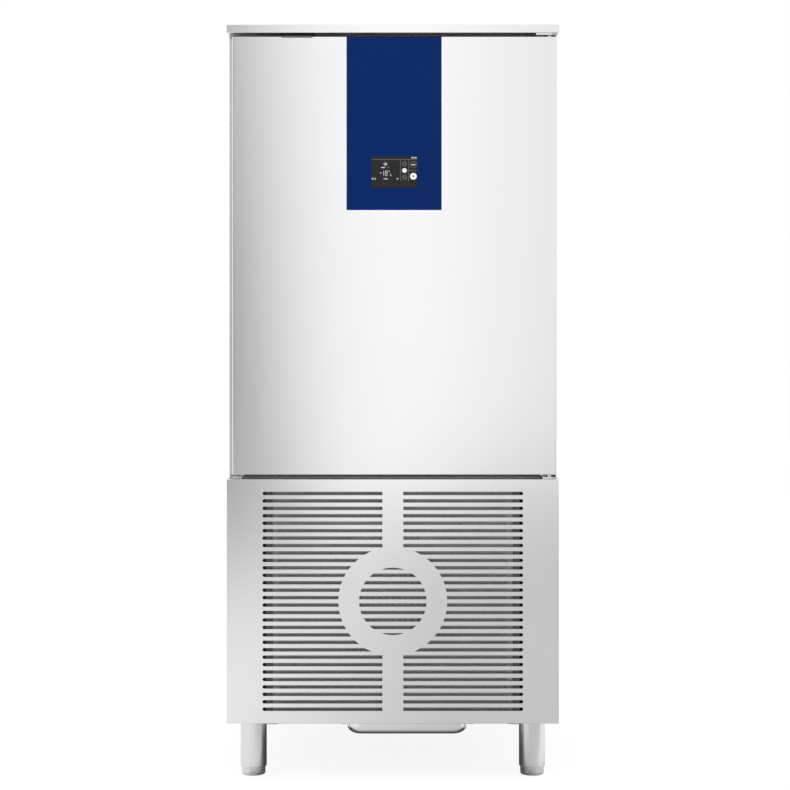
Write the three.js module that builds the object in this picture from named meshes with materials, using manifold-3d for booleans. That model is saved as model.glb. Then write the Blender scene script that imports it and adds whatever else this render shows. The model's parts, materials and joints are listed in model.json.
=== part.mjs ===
// Reach-in blast chiller on four adjustable legs.
// Millimetres. Z is up, the door faces -Y, the origin is on the floor under the middle of the cabinet.
import * as THREE from "three";
import { mergeVertices } from "three/addons/utils/BufferGeometryUtils.js";
import Module from "manifold-3d";

const wasm = await Module();
wasm.setup();

// ---------------------------------------------------------------- driving dimensions
const WIDTH = 790;
const DEPTH = 820;
const HEIGHT = 1800;
const LEG_HEIGHT = 139; // floor to the underside of the base
const PLANT_HEIGHT = 581; // machine compartment behind the louvred panel
const LID_HEIGHT = 19;
const LID_SHEET = 2;
const LID_RETURN = 14; // edge of the lid turned in underneath
const SHEET = 1.5; // folded stainless sheet
const WALL = 60; // insulated wall: sheet, foam, sheet
const CLEAR = 0.3; // gap between pieces that meet
const SEAT_GAP = 6; // door back to cabinet front, filled by the gasket

const FRONT = -DEPTH / 2;
const BACK = DEPTH / 2;
const SIDE = WIDTH / 2;
const CELL_Z = LEG_HEIGHT + PLANT_HEIGHT;
const LID_Z = HEIGHT - LID_HEIGHT;

// door
const DOOR_SIDE_GAP = 5.25; // door edge to the side of the cabinet
const DOOR_THICKNESS = 62;
const FASCIA_THICKNESS = 2; // the fascia stands level with the front of the lid
const DOOR_GAP_TOP = 9.3;
const DOOR_GAP_BOTTOM = 11;
const DOOR_FRONT = FRONT + FASCIA_THICKNESS;
const DOOR_BACK = DOOR_FRONT + DOOR_THICKNESS;
const DOOR_Z0 = CELL_Z + DOOR_GAP_BOTTOM;
const DOOR_Z1 = LID_Z - DOOR_GAP_TOP;
const DOOR_RIGHT = SIDE - DOOR_SIDE_GAP;
const DOOR_LEFT = -DOOR_RIGHT;
const EDGE_RADIUS = 4;
const CELL_FRONT = DOOR_BACK + SEAT_GAP;

// grip channel along the opening edge
const LIP_SETBACK = 7.5; // front lip behind the outer edge of the door
const LIP_THICKNESS = 14;
const GRIP_WIDTH = 20;
const GRIP_DEPTH = 22;
const GRIP_WALL = 2;

// cell
const LINER_RADIUS = 14;
const MOUTH_X = SIDE - WALL;
const MOUTH_Z0 = CELL_Z + WALL;
const MOUTH_Z1 = LID_Z - WALL;
const CELL_BACK = BACK - WALL;
const FRAME_DEPTH = 10; // thermal break frame
const GASKET_WIDTH = 14;
const GASKET_INSET = 3; // mouth edge to gasket
const PLUG_DEPTH = 8; // raised middle of the door liner
const PLUG_CLEAR = 10;

// fascia and display
const FASCIA_WIDTH = 226;
const FASCIA_HEIGHT = 412;
const FASCIA_X = 3;
const DISPLAY_WIDTH = 109;
const DISPLAY_HEIGHT = 74;
const DISPLAY_DROP = 284; // top of the fascia to the top of the display
const DISPLAY_HOUSING_DEPTH = 28;
const DISPLAY_HOUSING_INSET = 6;

// hinges
const PIN_RADIUS = 5;
const PIN_INSET_X = 16; // door edge to pin
const PIN_INSET_Y = 12; // door front to pin
const PIN_REACH = 26; // pin length inside the door
const PIN_COLLAR_RADIUS = 7;
const PIN_BORE = PIN_RADIUS + 0.6;
const HINGE_PLATE = 5;
const HINGE_FLANGE = 3;
const HINGE_FLANGE_HEIGHT = 39;
const UPPER_HINGE_WIDTH = 49;
const LOWER_HINGE_WIDTH = 34;
const HINGE_CHAMFER = 12;
const STOP_WIDTH = 22;
const SWITCH_INSET_X = 130; // cabinet side to the door switch
const SWITCH_WIDTH = 74;
const SWITCH_INSET_Y = 4; // behind the door front
const SWITCH_DOOR_GAP = 2;
const SWITCH_GAP = 3; // gasket to the switch's back leg

// louvred front panel
const PANEL_FOLD = 22;
const ROWS = 30;
const ROW_PITCH = 17.68;
const TOP_ROW_DROP = 34; // panel top to the first row
const SLOT_HEIGHT = 7.3;
const FIELD_MARGIN = 85.4; // panel edge to the slots
const BAR_WIDTH = 50;
const RING_OUTER = 129.5;
const RING_INNER = 80;

// legs and feet
const LEG_INSET_X = 57;
const LEG_INSET_Y = 92;
const LEG_RADIUS = 31.5;
const LEG_WALL = 1.5;
const FOOT_HEIGHT = 20; // shown below the leg at rest
const FOOT_RADIUS = 28.5;
const STEM_RADIUS = 8;
const INSERT_HEIGHT = 14;
const FOOT_NECK = 18; // foot body inside the leg at rest
const FOOT_TRAVEL = 30;

// drip tray
const TRAY_X = 34;
const TRAY_WIDTH = 288;
const TRAY_LENGTH = 374;
const TRAY_BOTTOM_Z = 105;
const TRAY_WALL = 1.5;
const TRAY_EDGE = 22; // radius of the lower edges
const TRAY_SETBACK = 14;
const RIM_WIDTH = 12;
const RUNNER_THICKNESS = 1.5;

// tray rack
const LEVELS = 15;
const FIRST_LEVEL = 50; // cell floor to the first runner
const LAST_LEVEL = 51; // last runner to the cell ceiling
const RACK_SIDE = 30; // cell wall to the runners
const RUNNER_LEDGE = 22;
const RUNNER_UPRIGHT = 18;
const RACK_SHEET = 2;
const RACK_FRONT_CLEAR = 20;
const POST_WIDTH = 30;

// evaporator
const FAN_PANEL_GAP = 30; // rack to fan panel
const FAN_PANEL_RETURN = 50;
const FAN_PANEL_MARGIN = LINER_RADIUS + 2; // to the cell floor and ceiling
const EVAP_FAN_RADIUS = 150;
const FAN_END_MARGIN = 20.5; // left free by the two fans in half the cell height
const TIP_CLEAR = 6;
const COIL_SIDE_GAP = 55;
const COIL_END_GAP = 40.5; // cell floor and ceiling to the coil
const COIL_FRONT_GAP = 14; // fan motors to the coil
const COIL_DEPTH = 88;
const COIL_BACK_GAP = 10;
const COIL_FINS = 13;
const FIN = 3;
const END_PLATE_RISE = 10; // end plates above and below the fins
const RETURN_HALF = 26; // return bend: half the height between its two tubes

// drain
const DRAIN_X = TRAY_X;
const DRAIN_INSET = 38; // tray end to the drain
const DRAIN_Y = FRONT + TRAY_SETBACK + TRAY_LENGTH - DRAIN_INSET;
const DRAIN_FLANGE_RADIUS = 24;
const DRAIN_FLANGE = 1.7;
const DRAIN_STUB = 1; // drain pipe below the base, clear of the tray that slides under it
const DRAIN_RADIUS = 14;
const DRAIN_WALL = 2;
const PLUG_LIFT_HEAD = 10;

// machine compartment
const REAR_RECESS = 16;
const VENT_ROWS = 6;
const VENT_PITCH = 34;
const VENT_HEIGHT = 10;
const VENT_LENGTH = 190;
const VENT_CENTRE_X = 150;
const VENT_DROP = 140; // top of the rear panel to the first vent
const POST = 40;
const BASE_RISE = 25;
const FILTER_SIDE_GAP = 92;
const FILTER_BORDER = 16;
const FILTER_WEB = 2;
const FILTER_HEIGHT = 566;
const FILTER_THICKNESS = 12;
const CONDENSER_SIDE_GAP = 95;
const CONDENSER_HEIGHT = 440;
const CONDENSER_DEPTH = 70;
const CONDENSER_FINS = 15;
const CONDENSER_LIFT = 60;
const COND_FAN_RADIUS = 175;
const SHROUD_RING = 34;
const HUB_RADIUS = 38;
const MOTOR_RADIUS = 42;
const MOTOR_LENGTH = 74;
const ARM_THICKNESS = 5;
const ARM_WIDTH = 14;
const ARM_ROOT = 16; // arm end inside the motor body
const SHAFT_RADIUS = 6;
const SHAFT_CLEAR = 0.5;
const COMPRESSOR_X = -SIDE + 205;
const COMPRESSOR_Y = BACK - 230;
const COMPRESSOR_RADIUS = 86;
const COMPRESSOR_HEIGHT = 260;
const RECEIVER_X = 40;
const RECEIVER_Y = BACK - 120;
const RECEIVER_RADIUS = 52;
const RECEIVER_HEIGHT = 250;
const DRIER_RADIUS = 22;
const DRIER_HEIGHT = 120;
const PIPE_LARGE = 8;
const PIPE_SMALL = 5;
const PIPE_CLEAR = 1; // pipe to its hole in the cell floor
const BEND = 30;
const GLAND_X = SIDE - 95;
const GLAND_Z = LEG_HEIGHT + 81;
const GLAND_RADIUS = 12;
const GLAND_FLANGE_RADIUS = 17;
const GLAND_REACH = 12; // in front of and behind the rear panel
const GLAND_BORE = 7;
const ELECTRICAL_WIDTH = 120;
const ELECTRICAL_HEIGHT = 260;
const ELECTRICAL_INSET_Y = 60; // corner posts to the box
const ELECTRICAL_BORDER = 10;
const ELECTRICAL_RECESS = 2;

// ---------------------------------------------------------------- geometry helpers
const ALONG_X = new THREE.Matrix4().makeBasis(
  new THREE.Vector3(0, 1, 0),
  new THREE.Vector3(0, 0, 1),
  new THREE.Vector3(1, 0, 0),
);

function solid(geometry) {
  const bare = geometry.index ? geometry.toNonIndexed() : geometry.clone();
  bare.deleteAttribute("normal");
  bare.deleteAttribute("uv");
  const merged = mergeVertices(bare, 1e-4);
  return new wasm.Manifold(
    new wasm.Mesh({
      numProp: 3,
      vertProperties: merged.getAttribute("position").array,
      triVerts: new Uint32Array(merged.index.array),
    }),
  );
}

function geometryOf(manifold) {
  const mesh = manifold.getMesh();
  const geometry = new THREE.BufferGeometry();
  geometry.setAttribute("position", new THREE.BufferAttribute(mesh.vertProperties, 3));
  geometry.setIndex(new THREE.BufferAttribute(mesh.triVerts, 1));
  const flat = geometry.toNonIndexed();
  flat.computeVertexNormals();
  return flat;
}

const join = (first, ...rest) => rest.reduce((sum, tool) => sum.add(tool), first);
const cut = (first, ...tools) => tools.reduce((left, tool) => left.subtract(tool), first);

function box(x0, x1, y0, y1, z0, z1) {
  const geometry = new THREE.BoxGeometry(x1 - x0, y1 - y0, z1 - z0);
  geometry.translate((x0 + x1) / 2, (y0 + y1) / 2, (z0 + z1) / 2);
  return solid(geometry);
}

function polygon(points) {
  return new THREE.Shape(points.map(([x, y]) => new THREE.Vector2(x, y)));
}

// A rounded rectangle between two corners.
function roundedRect(x0, x1, y0, y1, radius) {
  const shape = new THREE.Shape();
  shape.moveTo(x0 + radius, y0);
  shape.lineTo(x1 - radius, y0);
  shape.absarc(x1 - radius, y0 + radius, radius, -Math.PI / 2, 0, false);
  shape.lineTo(x1, y1 - radius);
  shape.absarc(x1 - radius, y1 - radius, radius, 0, Math.PI / 2, false);
  shape.lineTo(x0 + radius, y1);
  shape.absarc(x0 + radius, y1 - radius, radius, Math.PI / 2, Math.PI, false);
  shape.lineTo(x0, y0 + radius);
  shape.absarc(x0 + radius, y0 + radius, radius, Math.PI, Math.PI * 1.5, false);
  return shape;
}

// A level slot with round ends.
function slotShape(x0, x1, z, height) {
  const radius = height / 2;
  const shape = new THREE.Shape();
  shape.moveTo(x0 + radius, z - radius);
  shape.lineTo(x1 - radius, z - radius);
  shape.absarc(x1 - radius, z, radius, -Math.PI / 2, Math.PI / 2, false);
  shape.lineTo(x0 + radius, z + radius);
  shape.absarc(x0 + radius, z, radius, Math.PI / 2, Math.PI * 1.5, false);
  return shape;
}

// A plan outline (x, y) raised from z0 to z1.
function upright(shape, z0, z1, curveSegments = 2) {
  const geometry = new THREE.ExtrudeGeometry(shape, { depth: z1 - z0, bevelEnabled: false, curveSegments });
  geometry.translate(0, 0, z0);
  return solid(geometry);
}

// A front outline (x, z) running back from y0 to y1.
function facing(shape, y0, y1, curveSegments = 2) {
  const geometry = new THREE.ExtrudeGeometry(shape, { depth: y1 - y0, bevelEnabled: false, curveSegments });
  geometry.rotateX(Math.PI / 2);
  geometry.translate(0, y1, 0);
  return solid(geometry);
}

// A side outline (y, z) running from x0 to x1.
function sideways(shape, x0, x1, curveSegments = 2) {
  const geometry = new THREE.ExtrudeGeometry(shape, { depth: x1 - x0, bevelEnabled: false, curveSegments });
  geometry.applyMatrix4(ALONG_X);
  geometry.translate(x0, 0, 0);
  return solid(geometry);
}

// A revolved profile of [radius, height] points about a vertical axis at x, y.
function turned(profile, x, y, sides = 24) {
  const points = profile.map(([r, z]) => new THREE.Vector2(r, z));
  const geometry = new THREE.LatheGeometry(points, sides);
  geometry.rotateX(Math.PI / 2);
  geometry.translate(x, y, 0);
  return solid(geometry);
}

// The same, about an axis that runs along Y through x, z. Heights count along +Y.
function turnedAlongY(profile, x, z, sides = 24) {
  const points = profile.map(([r, y]) => new THREE.Vector2(r, y));
  const geometry = new THREE.LatheGeometry(points, sides);
  geometry.translate(x, 0, z);
  return solid(geometry);
}

const rod = (radius, x, y, z0, z1, sides = 16) =>
  turned([[0, z0], [radius, z0], [radius, z1], [0, z1]], x, y, sides);

const rodAlongY = (radius, x, z, y0, y1, sides = 16) =>
  turnedAlongY([[0, y0], [radius, y0], [radius, y1], [0, y1]], x, z, sides);

const rodAlongX = (radius, y, z, x0, x1, sides = 8) =>
  sideways(circle(radius, y, z), x0, x1, sides / 2);

function circle(radius, x = 0, y = 0) {
  return new THREE.Shape().absarc(x, y, radius, 0, Math.PI * 2, false);
}

// A pipe through the points, with a round bend at each inner one.
function pipe(points, radius, steps, sides = 6) {
  const route = new THREE.CurvePath();
  const corners = points.map(([x, y, z]) => new THREE.Vector3(x, y, z));
  let from = corners[0];
  for (let i = 1; i < corners.length - 1; i += 1) {
    const corner = corners[i];
    const before = corner.clone().add(from.clone().sub(corner).setLength(BEND));
    const after = corner.clone().add(corners[i + 1].clone().sub(corner).setLength(BEND));
    route.add(new THREE.LineCurve3(from, before));
    route.add(new THREE.QuadraticBezierCurve3(before, corner, after));
    from = after;
  }
  route.add(new THREE.LineCurve3(from, corners.at(-1)));
  const section = circle(radius);
  return solid(
    new THREE.ExtrudeGeometry(section, { steps, extrudePath: route, curveSegments: sides / 2 }),
  );
}

// ---------------------------------------------------------------- the assembly
const chiller = new THREE.Group();
chiller.name = "blast_chiller";

const STEEL = [0xd9dadb, 0.32, 0.9];
const DULL_STEEL = [0xb4b7ba, 0.45, 0.85];
const DARK_METAL = [0x23262a, 0.5, 0.4];
const ALUMINIUM = [0xc3c7ca, 0.4, 0.9];
const COPPER = [0xb8734a, 0.35, 0.95];
const BLACK_PLASTIC = [0x1b1c1e, 0.55, 0];
const GREY_PLASTIC = [0x8d9194, 0.6, 0];
const FOAM = [0xe3d9b2, 0.9, 0];
const BLUE = [0x122d6a, 0.45, 0];
const RUBBER = [0x55585b, 0.8, 0];

function add(name, made, [color, roughness, metalness], parent = chiller) {
  const material = new THREE.MeshStandardMaterial({ color, roughness, metalness });
  const mesh = new THREE.Mesh(geometryOf(made), material);
  mesh.name = name;
  parent.add(mesh);
  return mesh;
}

// ---------------------------------------------------------------- insulated cell
function buildCell() {
  const back = BACK;
  const drainHole = rod(DRAIN_RADIUS + CLEAR, DRAIN_X, DRAIN_Y, CELL_Z - 1, MOUTH_Z0 + 1);
  const pipeHoles = PIPE_PASSES.map(([x, y, radius]) => rod(radius + PIPE_CLEAR, x, y, CELL_Z - 1, MOUTH_Z0 + 1, 12));
  const holes = [drainHole, ...pipeHoles];

  const outside = box(-SIDE, SIDE, CELL_FRONT, back, CELL_Z, LID_Z);
  const inside = box(
    -SIDE + SHEET, SIDE - SHEET, CELL_FRONT - 1, back - SHEET, CELL_Z + SHEET, LID_Z - SHEET,
  );
  add("outer_casing", cut(outside, inside, ...holes), STEEL);

  const cavity = roundedRect(-MOUTH_X, MOUTH_X, MOUTH_Z0, MOUTH_Z1, LINER_RADIUS);
  const cavityOuter = roundedRect(
    -MOUTH_X - SHEET, MOUTH_X + SHEET, MOUTH_Z0 - SHEET, MOUTH_Z1 + SHEET, LINER_RADIUS + SHEET,
  );
  const linerBlock = facing(cavityOuter, CELL_FRONT, CELL_BACK + SHEET);
  const linerSpace = facing(cavity, CELL_FRONT - 1, CELL_BACK);
  add("inner_liner", cut(linerBlock, linerSpace, ...holes), STEEL);

  const foam = box(
    -SIDE + SHEET, SIDE - SHEET, CELL_FRONT + FRAME_DEPTH, back - SHEET, CELL_Z + SHEET, LID_Z - SHEET,
  );
  add("cell_insulation", cut(foam, linerBlock, ...holes), FOAM);

  const ring = box(
    -SIDE + SHEET, SIDE - SHEET, CELL_FRONT, CELL_FRONT + FRAME_DEPTH, CELL_Z + SHEET, LID_Z - SHEET,
  );
  add("thermal_break_frame", cut(ring, linerBlock), GREY_PLASTIC);
}

// A shallow folded lid with returned edges underneath.
function buildLid() {
  const plate = box(-SIDE, SIDE, FRONT, BACK, LID_Z, HEIGHT);
  const pocket = box(
    -SIDE + LID_SHEET, SIDE - LID_SHEET, FRONT + LID_SHEET, BACK - LID_SHEET, LID_Z + LID_SHEET,
    HEIGHT - LID_SHEET,
  );
  const mouth = box(
    -SIDE + LID_RETURN, SIDE - LID_RETURN, CELL_FRONT + LID_RETURN, BACK - LID_RETURN, LID_Z - 1,
    LID_Z + LID_SHEET + 1,
  );
  add("top_lid", cut(plate, join(pocket, mouth)), STEEL);
}

// ---------------------------------------------------------------- tray rack and evaporator
const COIL_Z0 = MOUTH_Z0 + COIL_END_GAP;
const COIL_Z1 = MOUTH_Z1 - COIL_END_GAP;
const COIL_X = MOUTH_X - COIL_SIDE_GAP;
const COIL_Y1 = CELL_BACK - COIL_BACK_GAP;
const COIL_Y0 = COIL_Y1 - COIL_DEPTH;
const FAN_PANEL_Y = COIL_Y0 - COIL_FRONT_GAP - MOTOR_LENGTH - SHROUD_RING;
const RACK_FRONT = CELL_FRONT + RACK_FRONT_CLEAR;
const RACK_BACK = FAN_PANEL_Y - FAN_PANEL_GAP;
const LEVEL_PITCH = (MOUTH_Z1 - LAST_LEVEL - MOUTH_Z0 - FIRST_LEVEL) / (LEVELS - 1);

function rackSide(sign) {
  const wall = MOUTH_X - CLEAR;
  const innerX = MOUTH_X - RACK_SIDE;
  const z0 = MOUTH_Z0 + LINER_RADIUS;
  const z1 = MOUTH_Z1 - LINER_RADIUS;
  const side = (x0, x1, y0, y1, low, high) =>
    sign > 0 ? box(x0, x1, y0, y1, low, high) : box(-x1, -x0, y0, y1, low, high);

  const channels = [RACK_FRONT + POST_WIDTH, RACK_BACK - 2 * POST_WIDTH].map((y) => {
    const block = side(innerX + RACK_SHEET, wall, y, y + POST_WIDTH, z0, z1);
    const groove = side(
      innerX + 2 * RACK_SHEET, wall + 1, y + RACK_SHEET, y + POST_WIDTH - RACK_SHEET, z0 - 1, z1 + 1,
    );
    return cut(block, groove);
  });
  const runners = [];
  for (let level = 0; level < LEVELS; level += 1) {
    const z = MOUTH_Z0 + FIRST_LEVEL + level * LEVEL_PITCH;
    const ledge = side(innerX - RUNNER_LEDGE, innerX + RACK_SHEET, RACK_FRONT, RACK_BACK, z, z + RACK_SHEET);
    const web = side(innerX, innerX + RACK_SHEET, RACK_FRONT, RACK_BACK, z, z + RUNNER_UPRIGHT);
    runners.push(ledge.add(web));
  }
  return join(...channels, ...runners);
}

function buildRack() {
  add("tray_rack_left", rackSide(-1), STEEL);
  add("tray_rack_right", rackSide(1), STEEL);
}

// A curved blade that leaves the hub at z = 0 and faces along Z, before it is pitched.
function fanBlade(root, tip, pitch) {
  const outline = new THREE.Shape();
  outline.moveTo(root - 6, -16);
  outline.quadraticCurveTo(tip * 0.6, -tip * 0.34, tip, -tip * 0.16);
  outline.quadraticCurveTo(tip * 1.02, tip * 0.14, tip * 0.9, tip * 0.34);
  outline.quadraticCurveTo(tip * 0.5, tip * 0.2, root - 6, 16);
  const geometry = new THREE.ExtrudeGeometry(outline, { depth: 3, bevelEnabled: false, curveSegments: 2 });
  geometry.translate(0, 0, -1.5);
  geometry.rotateX(pitch);
  return geometry;
}

// Fan blades on their hub, turning about Y, with the hub's front face at y0.
function fanBlades(tipRadius, x, z, y0, hubDepth, count) {
  const pitch = 0.5;
  const middle = y0 + hubDepth / 2;
  let blades = rodAlongY(HUB_RADIUS, x, z, y0, y0 + hubDepth, 14);
  for (let i = 0; i < count; i += 1) {
    const geometry = fanBlade(HUB_RADIUS, tipRadius, pitch);
    geometry.rotateZ((i * 2 * Math.PI) / count);
    geometry.rotateX(Math.PI / 2);
    geometry.translate(x, middle, z);
    blades = blades.add(solid(geometry));
  }
  const reach = rodAlongY(tipRadius, x, z, y0, y0 + hubDepth, 32);
  const bore = rodAlongY(SHAFT_RADIUS + SHAFT_CLEAR, x, z, y0 + hubDepth / 3, y0 + hubDepth + 1, 12);
  return cut(blades.intersect(reach), bore);
}

// Motor with its shaft forward and three arms that reach the fan ring.
function fanMotor(x, z, hubFace, hubDepth, armY, armReach) {
  const shaft = rodAlongY(SHAFT_RADIUS, x, z, hubFace + hubDepth / 3 + CLEAR, armY + 1, 8);
  const body = turnedAlongY(
    [
      [0, armY],
      [MOTOR_RADIUS - 8, armY],
      [MOTOR_RADIUS, armY + 8],
      [MOTOR_RADIUS, armY + MOTOR_LENGTH - 8],
      [MOTOR_RADIUS - 10, armY + MOTOR_LENGTH],
      [0, armY + MOTOR_LENGTH],
    ],
    x,
    z,
    16,
  );
  const arms = [0, 1, 2].map((i) => {
    const bar = new THREE.BoxGeometry(armReach - MOTOR_RADIUS + ARM_ROOT, ARM_THICKNESS, ARM_WIDTH);
    bar.translate((armReach + MOTOR_RADIUS - ARM_ROOT) / 2, armY + ARM_THICKNESS / 2, 0);
    bar.rotateY(Math.PI / 2 + (i * 2 * Math.PI) / 3);
    bar.translate(x, 0, z);
    return solid(bar);
  });
  return join(body, shaft, ...arms);
}

// Wire guard: rings on four spokes, with a hub ring.
function fanGuard(radius, x, z, y) {
  const wire = 2.2;
  const rings = [0.36, 0.68, 1].map((share) => {
    const ring = new THREE.TorusGeometry(radius * share, wire, 4, 16);
    ring.rotateX(Math.PI / 2);
    ring.translate(x, y, z);
    return solid(ring);
  });
  const spokes = [0, 1].map((i) => {
    const spoke = new THREE.BoxGeometry(2 * radius + 4, wire * 1.5, wire * 1.5);
    spoke.rotateY(Math.PI / 4 + (i * Math.PI) / 2);
    spoke.translate(x, y, z);
    return solid(spoke);
  });
  return join(...rings, ...spokes);
}

// Finned coil: vertical fins on a tube plane, end plates, and return bends at one end.
function finnedCoil({ x0, x1, y0, y1, z0, z1, fins, bends, feet }) {
  const core = 8;
  const middle = (y0 + y1) / 2;
  const pitch = (x1 - x0 - FIN) / (fins - 1);
  const plan = [];
  plan.push([x0, middle - core / 2]);
  for (let i = 0; i < fins; i += 1) {
    const x = x0 + i * pitch;
    plan.push([x, y0], [x + FIN, y0]);
    if (i < fins - 1) {
      plan.push([x + FIN, middle - core / 2], [x + pitch, middle - core / 2]);
    }
  }
  for (let i = fins - 1; i >= 0; i -= 1) {
    const x = x0 + i * pitch;
    plan.push([x + FIN, y1], [x, y1]);
    if (i > 0) {
      plan.push([x, middle + core / 2], [x - pitch + FIN, middle + core / 2]);
    }
  }
  const outline = polygon(plan.slice(1));
  const made = [upright(outline, z0, z1)];
  const step = (z1 - z0) / bends;
  for (let i = 0; i < bends; i += 1) {
    const z = z0 + (i + 0.5) * step;
    const arc = new THREE.CatmullRomCurve3([
      new THREE.Vector3(x1 - 2, middle, z - RETURN_HALF),
      new THREE.Vector3(x1 + RETURN_HALF * 0.8, middle, z - RETURN_HALF * 0.8),
      new THREE.Vector3(x1 + RETURN_HALF * 1.1, middle, z),
      new THREE.Vector3(x1 + RETURN_HALF * 0.8, middle, z + RETURN_HALF * 0.8),
      new THREE.Vector3(x1 - 2, middle, z + RETURN_HALF),
    ]);
    const bend = new THREE.ExtrudeGeometry(circle(PIPE_SMALL), {
      steps: 5, extrudePath: arc, curveSegments: 3,
    });
    made.push(solid(bend));
  }
  return join(...made, ...feet);
}

const FAN_Z = (MOUTH_Z0 + MOUTH_Z1) / 2;
const EVAP_HUB_DEPTH = 26;
const EVAP_ARM_Y = FAN_PANEL_Y + SHROUD_RING;

function buildEvaporator() {
  const panelX = MOUTH_X - CLEAR;
  const z0 = MOUTH_Z0 + FAN_PANEL_MARGIN;
  const z1 = MOUTH_Z1 - FAN_PANEL_MARGIN;
  const fold = box(-panelX, panelX, FAN_PANEL_Y, FAN_PANEL_Y + FAN_PANEL_RETURN, z0, z1);
  const hollow = box(
    -panelX + SHEET, panelX - SHEET, FAN_PANEL_Y + SHEET, FAN_PANEL_Y + FAN_PANEL_RETURN + 1, z0 - 1, z1 + 1,
  );
  const spacing = (MOUTH_Z1 - MOUTH_Z0) / 2 - FAN_END_MARGIN;
  const centres = [FAN_Z + spacing / 2, FAN_Z - spacing / 2];
  const opening = EVAP_FAN_RADIUS + TIP_CLEAR;
  const collars = centres.map((z) =>
    rodAlongY(opening + SHEET, 0, z, FAN_PANEL_Y, FAN_PANEL_Y + SHROUD_RING, 32),
  );
  const bores = centres.map((z) =>
    rodAlongY(opening, 0, z, FAN_PANEL_Y - 1, FAN_PANEL_Y + SHROUD_RING + 1, 32),
  );
  add("evaporator_fan_panel", cut(join(cut(fold, hollow), ...collars), ...bores), STEEL);

  ["upper", "lower"].forEach((place, i) => {
    const z = centres[i];
    const hubFace = FAN_PANEL_Y + 3;
    add(`evaporator_fan_guard_${place}`, fanGuard(opening + 6, 0, z, FAN_PANEL_Y - 2.2 - CLEAR), STEEL);
    add(`evaporator_fan_blades_${place}`, fanBlades(EVAP_FAN_RADIUS, 0, z, hubFace, EVAP_HUB_DEPTH, 5), ALUMINIUM);
    add(
      `evaporator_fan_motor_${place}`,
      fanMotor(0, z, hubFace, EVAP_HUB_DEPTH, EVAP_ARM_Y + CLEAR, opening + SHEET),
      DARK_METAL,
    );
  });

  const foot = (x) =>
    box(x, x + FIN, COIL_Y0, CELL_BACK - CLEAR, COIL_Z0 - END_PLATE_RISE, COIL_Z1 + END_PLATE_RISE);
  const coil = finnedCoil({
    x0: -COIL_X, x1: COIL_X, y0: COIL_Y0, y1: COIL_Y1, z0: COIL_Z0, z1: COIL_Z1,
    fins: COIL_FINS, bends: 4, feet: [foot(-COIL_X), foot(COIL_X - FIN)],
  });
  add("evaporator_coil", coil, ALUMINIUM);
}

// Places in plan where the refrigerant pipes pass through the cell floor.
const SUCTION_X = -COIL_X + 40;
const LIQUID_X = COIL_X - 60;
const PASS_Y = COIL_Y0 - 16;
const PIPE_PASSES = [
  [SUCTION_X, PASS_Y, PIPE_LARGE],
  [LIQUID_X, PASS_Y, PIPE_SMALL],
];

// ---------------------------------------------------------------- machine compartment
const FLOOR_Z = LEG_HEIGHT + SHEET;
const REAR_Y = BACK - REAR_RECESS;
const FILTER_Y = FRONT + SHEET + 6;
const PLANT_MIDDLE_Z = LEG_HEIGHT + PLANT_HEIGHT / 2;
const CONDENSER_Y0 = FILTER_Y + FILTER_THICKNESS + 8;
const CONDENSER_Y1 = CONDENSER_Y0 + CONDENSER_DEPTH;
const CONDENSER_Z0 = FLOOR_Z + CONDENSER_LIFT;
const CONDENSER_X = SIDE - CONDENSER_SIDE_GAP;
const FAN_CENTRE_Z = CONDENSER_Z0 + CONDENSER_HEIGHT / 2;

function buildBase() {
  const x = SIDE - SHEET - CLEAR;
  const y0 = FRONT + PANEL_FOLD + CLEAR;
  const y1 = REAR_Y - CLEAR;
  const pan = cut(
    box(-x, x, y0, y1, LEG_HEIGHT, LEG_HEIGHT + BASE_RISE),
    box(-x + SHEET, x - SHEET, y0 + SHEET, y1 - SHEET, FLOOR_Z, LEG_HEIGHT + BASE_RISE + 1),
  );
  const posts = [];
  for (const sx of [-1, 1]) {
    for (const [py0, py1] of [[CELL_FRONT, CELL_FRONT + POST], [y1 - POST, y1]]) {
      const outer = sx > 0 ? [x - POST, x] : [-x, -x + POST];
      const inner = sx > 0 ? [x - POST - 1, x - SHEET] : [-x + SHEET, -x + POST + 1];
      posts.push(
        cut(
          box(outer[0], outer[1], py0, py1, LEG_HEIGHT, CELL_Z),
          box(inner[0], inner[1], py0 + SHEET, py1 - SHEET, FLOOR_Z, CELL_Z - SHEET),
        ),
      );
    }
  }
  const drain = rod(DRAIN_RADIUS + CLEAR, DRAIN_X, DRAIN_Y, LEG_HEIGHT - 1, FLOOR_Z + 1);
  add("base_frame", cut(join(pan, ...posts), drain), DULL_STEEL);
}

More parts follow.
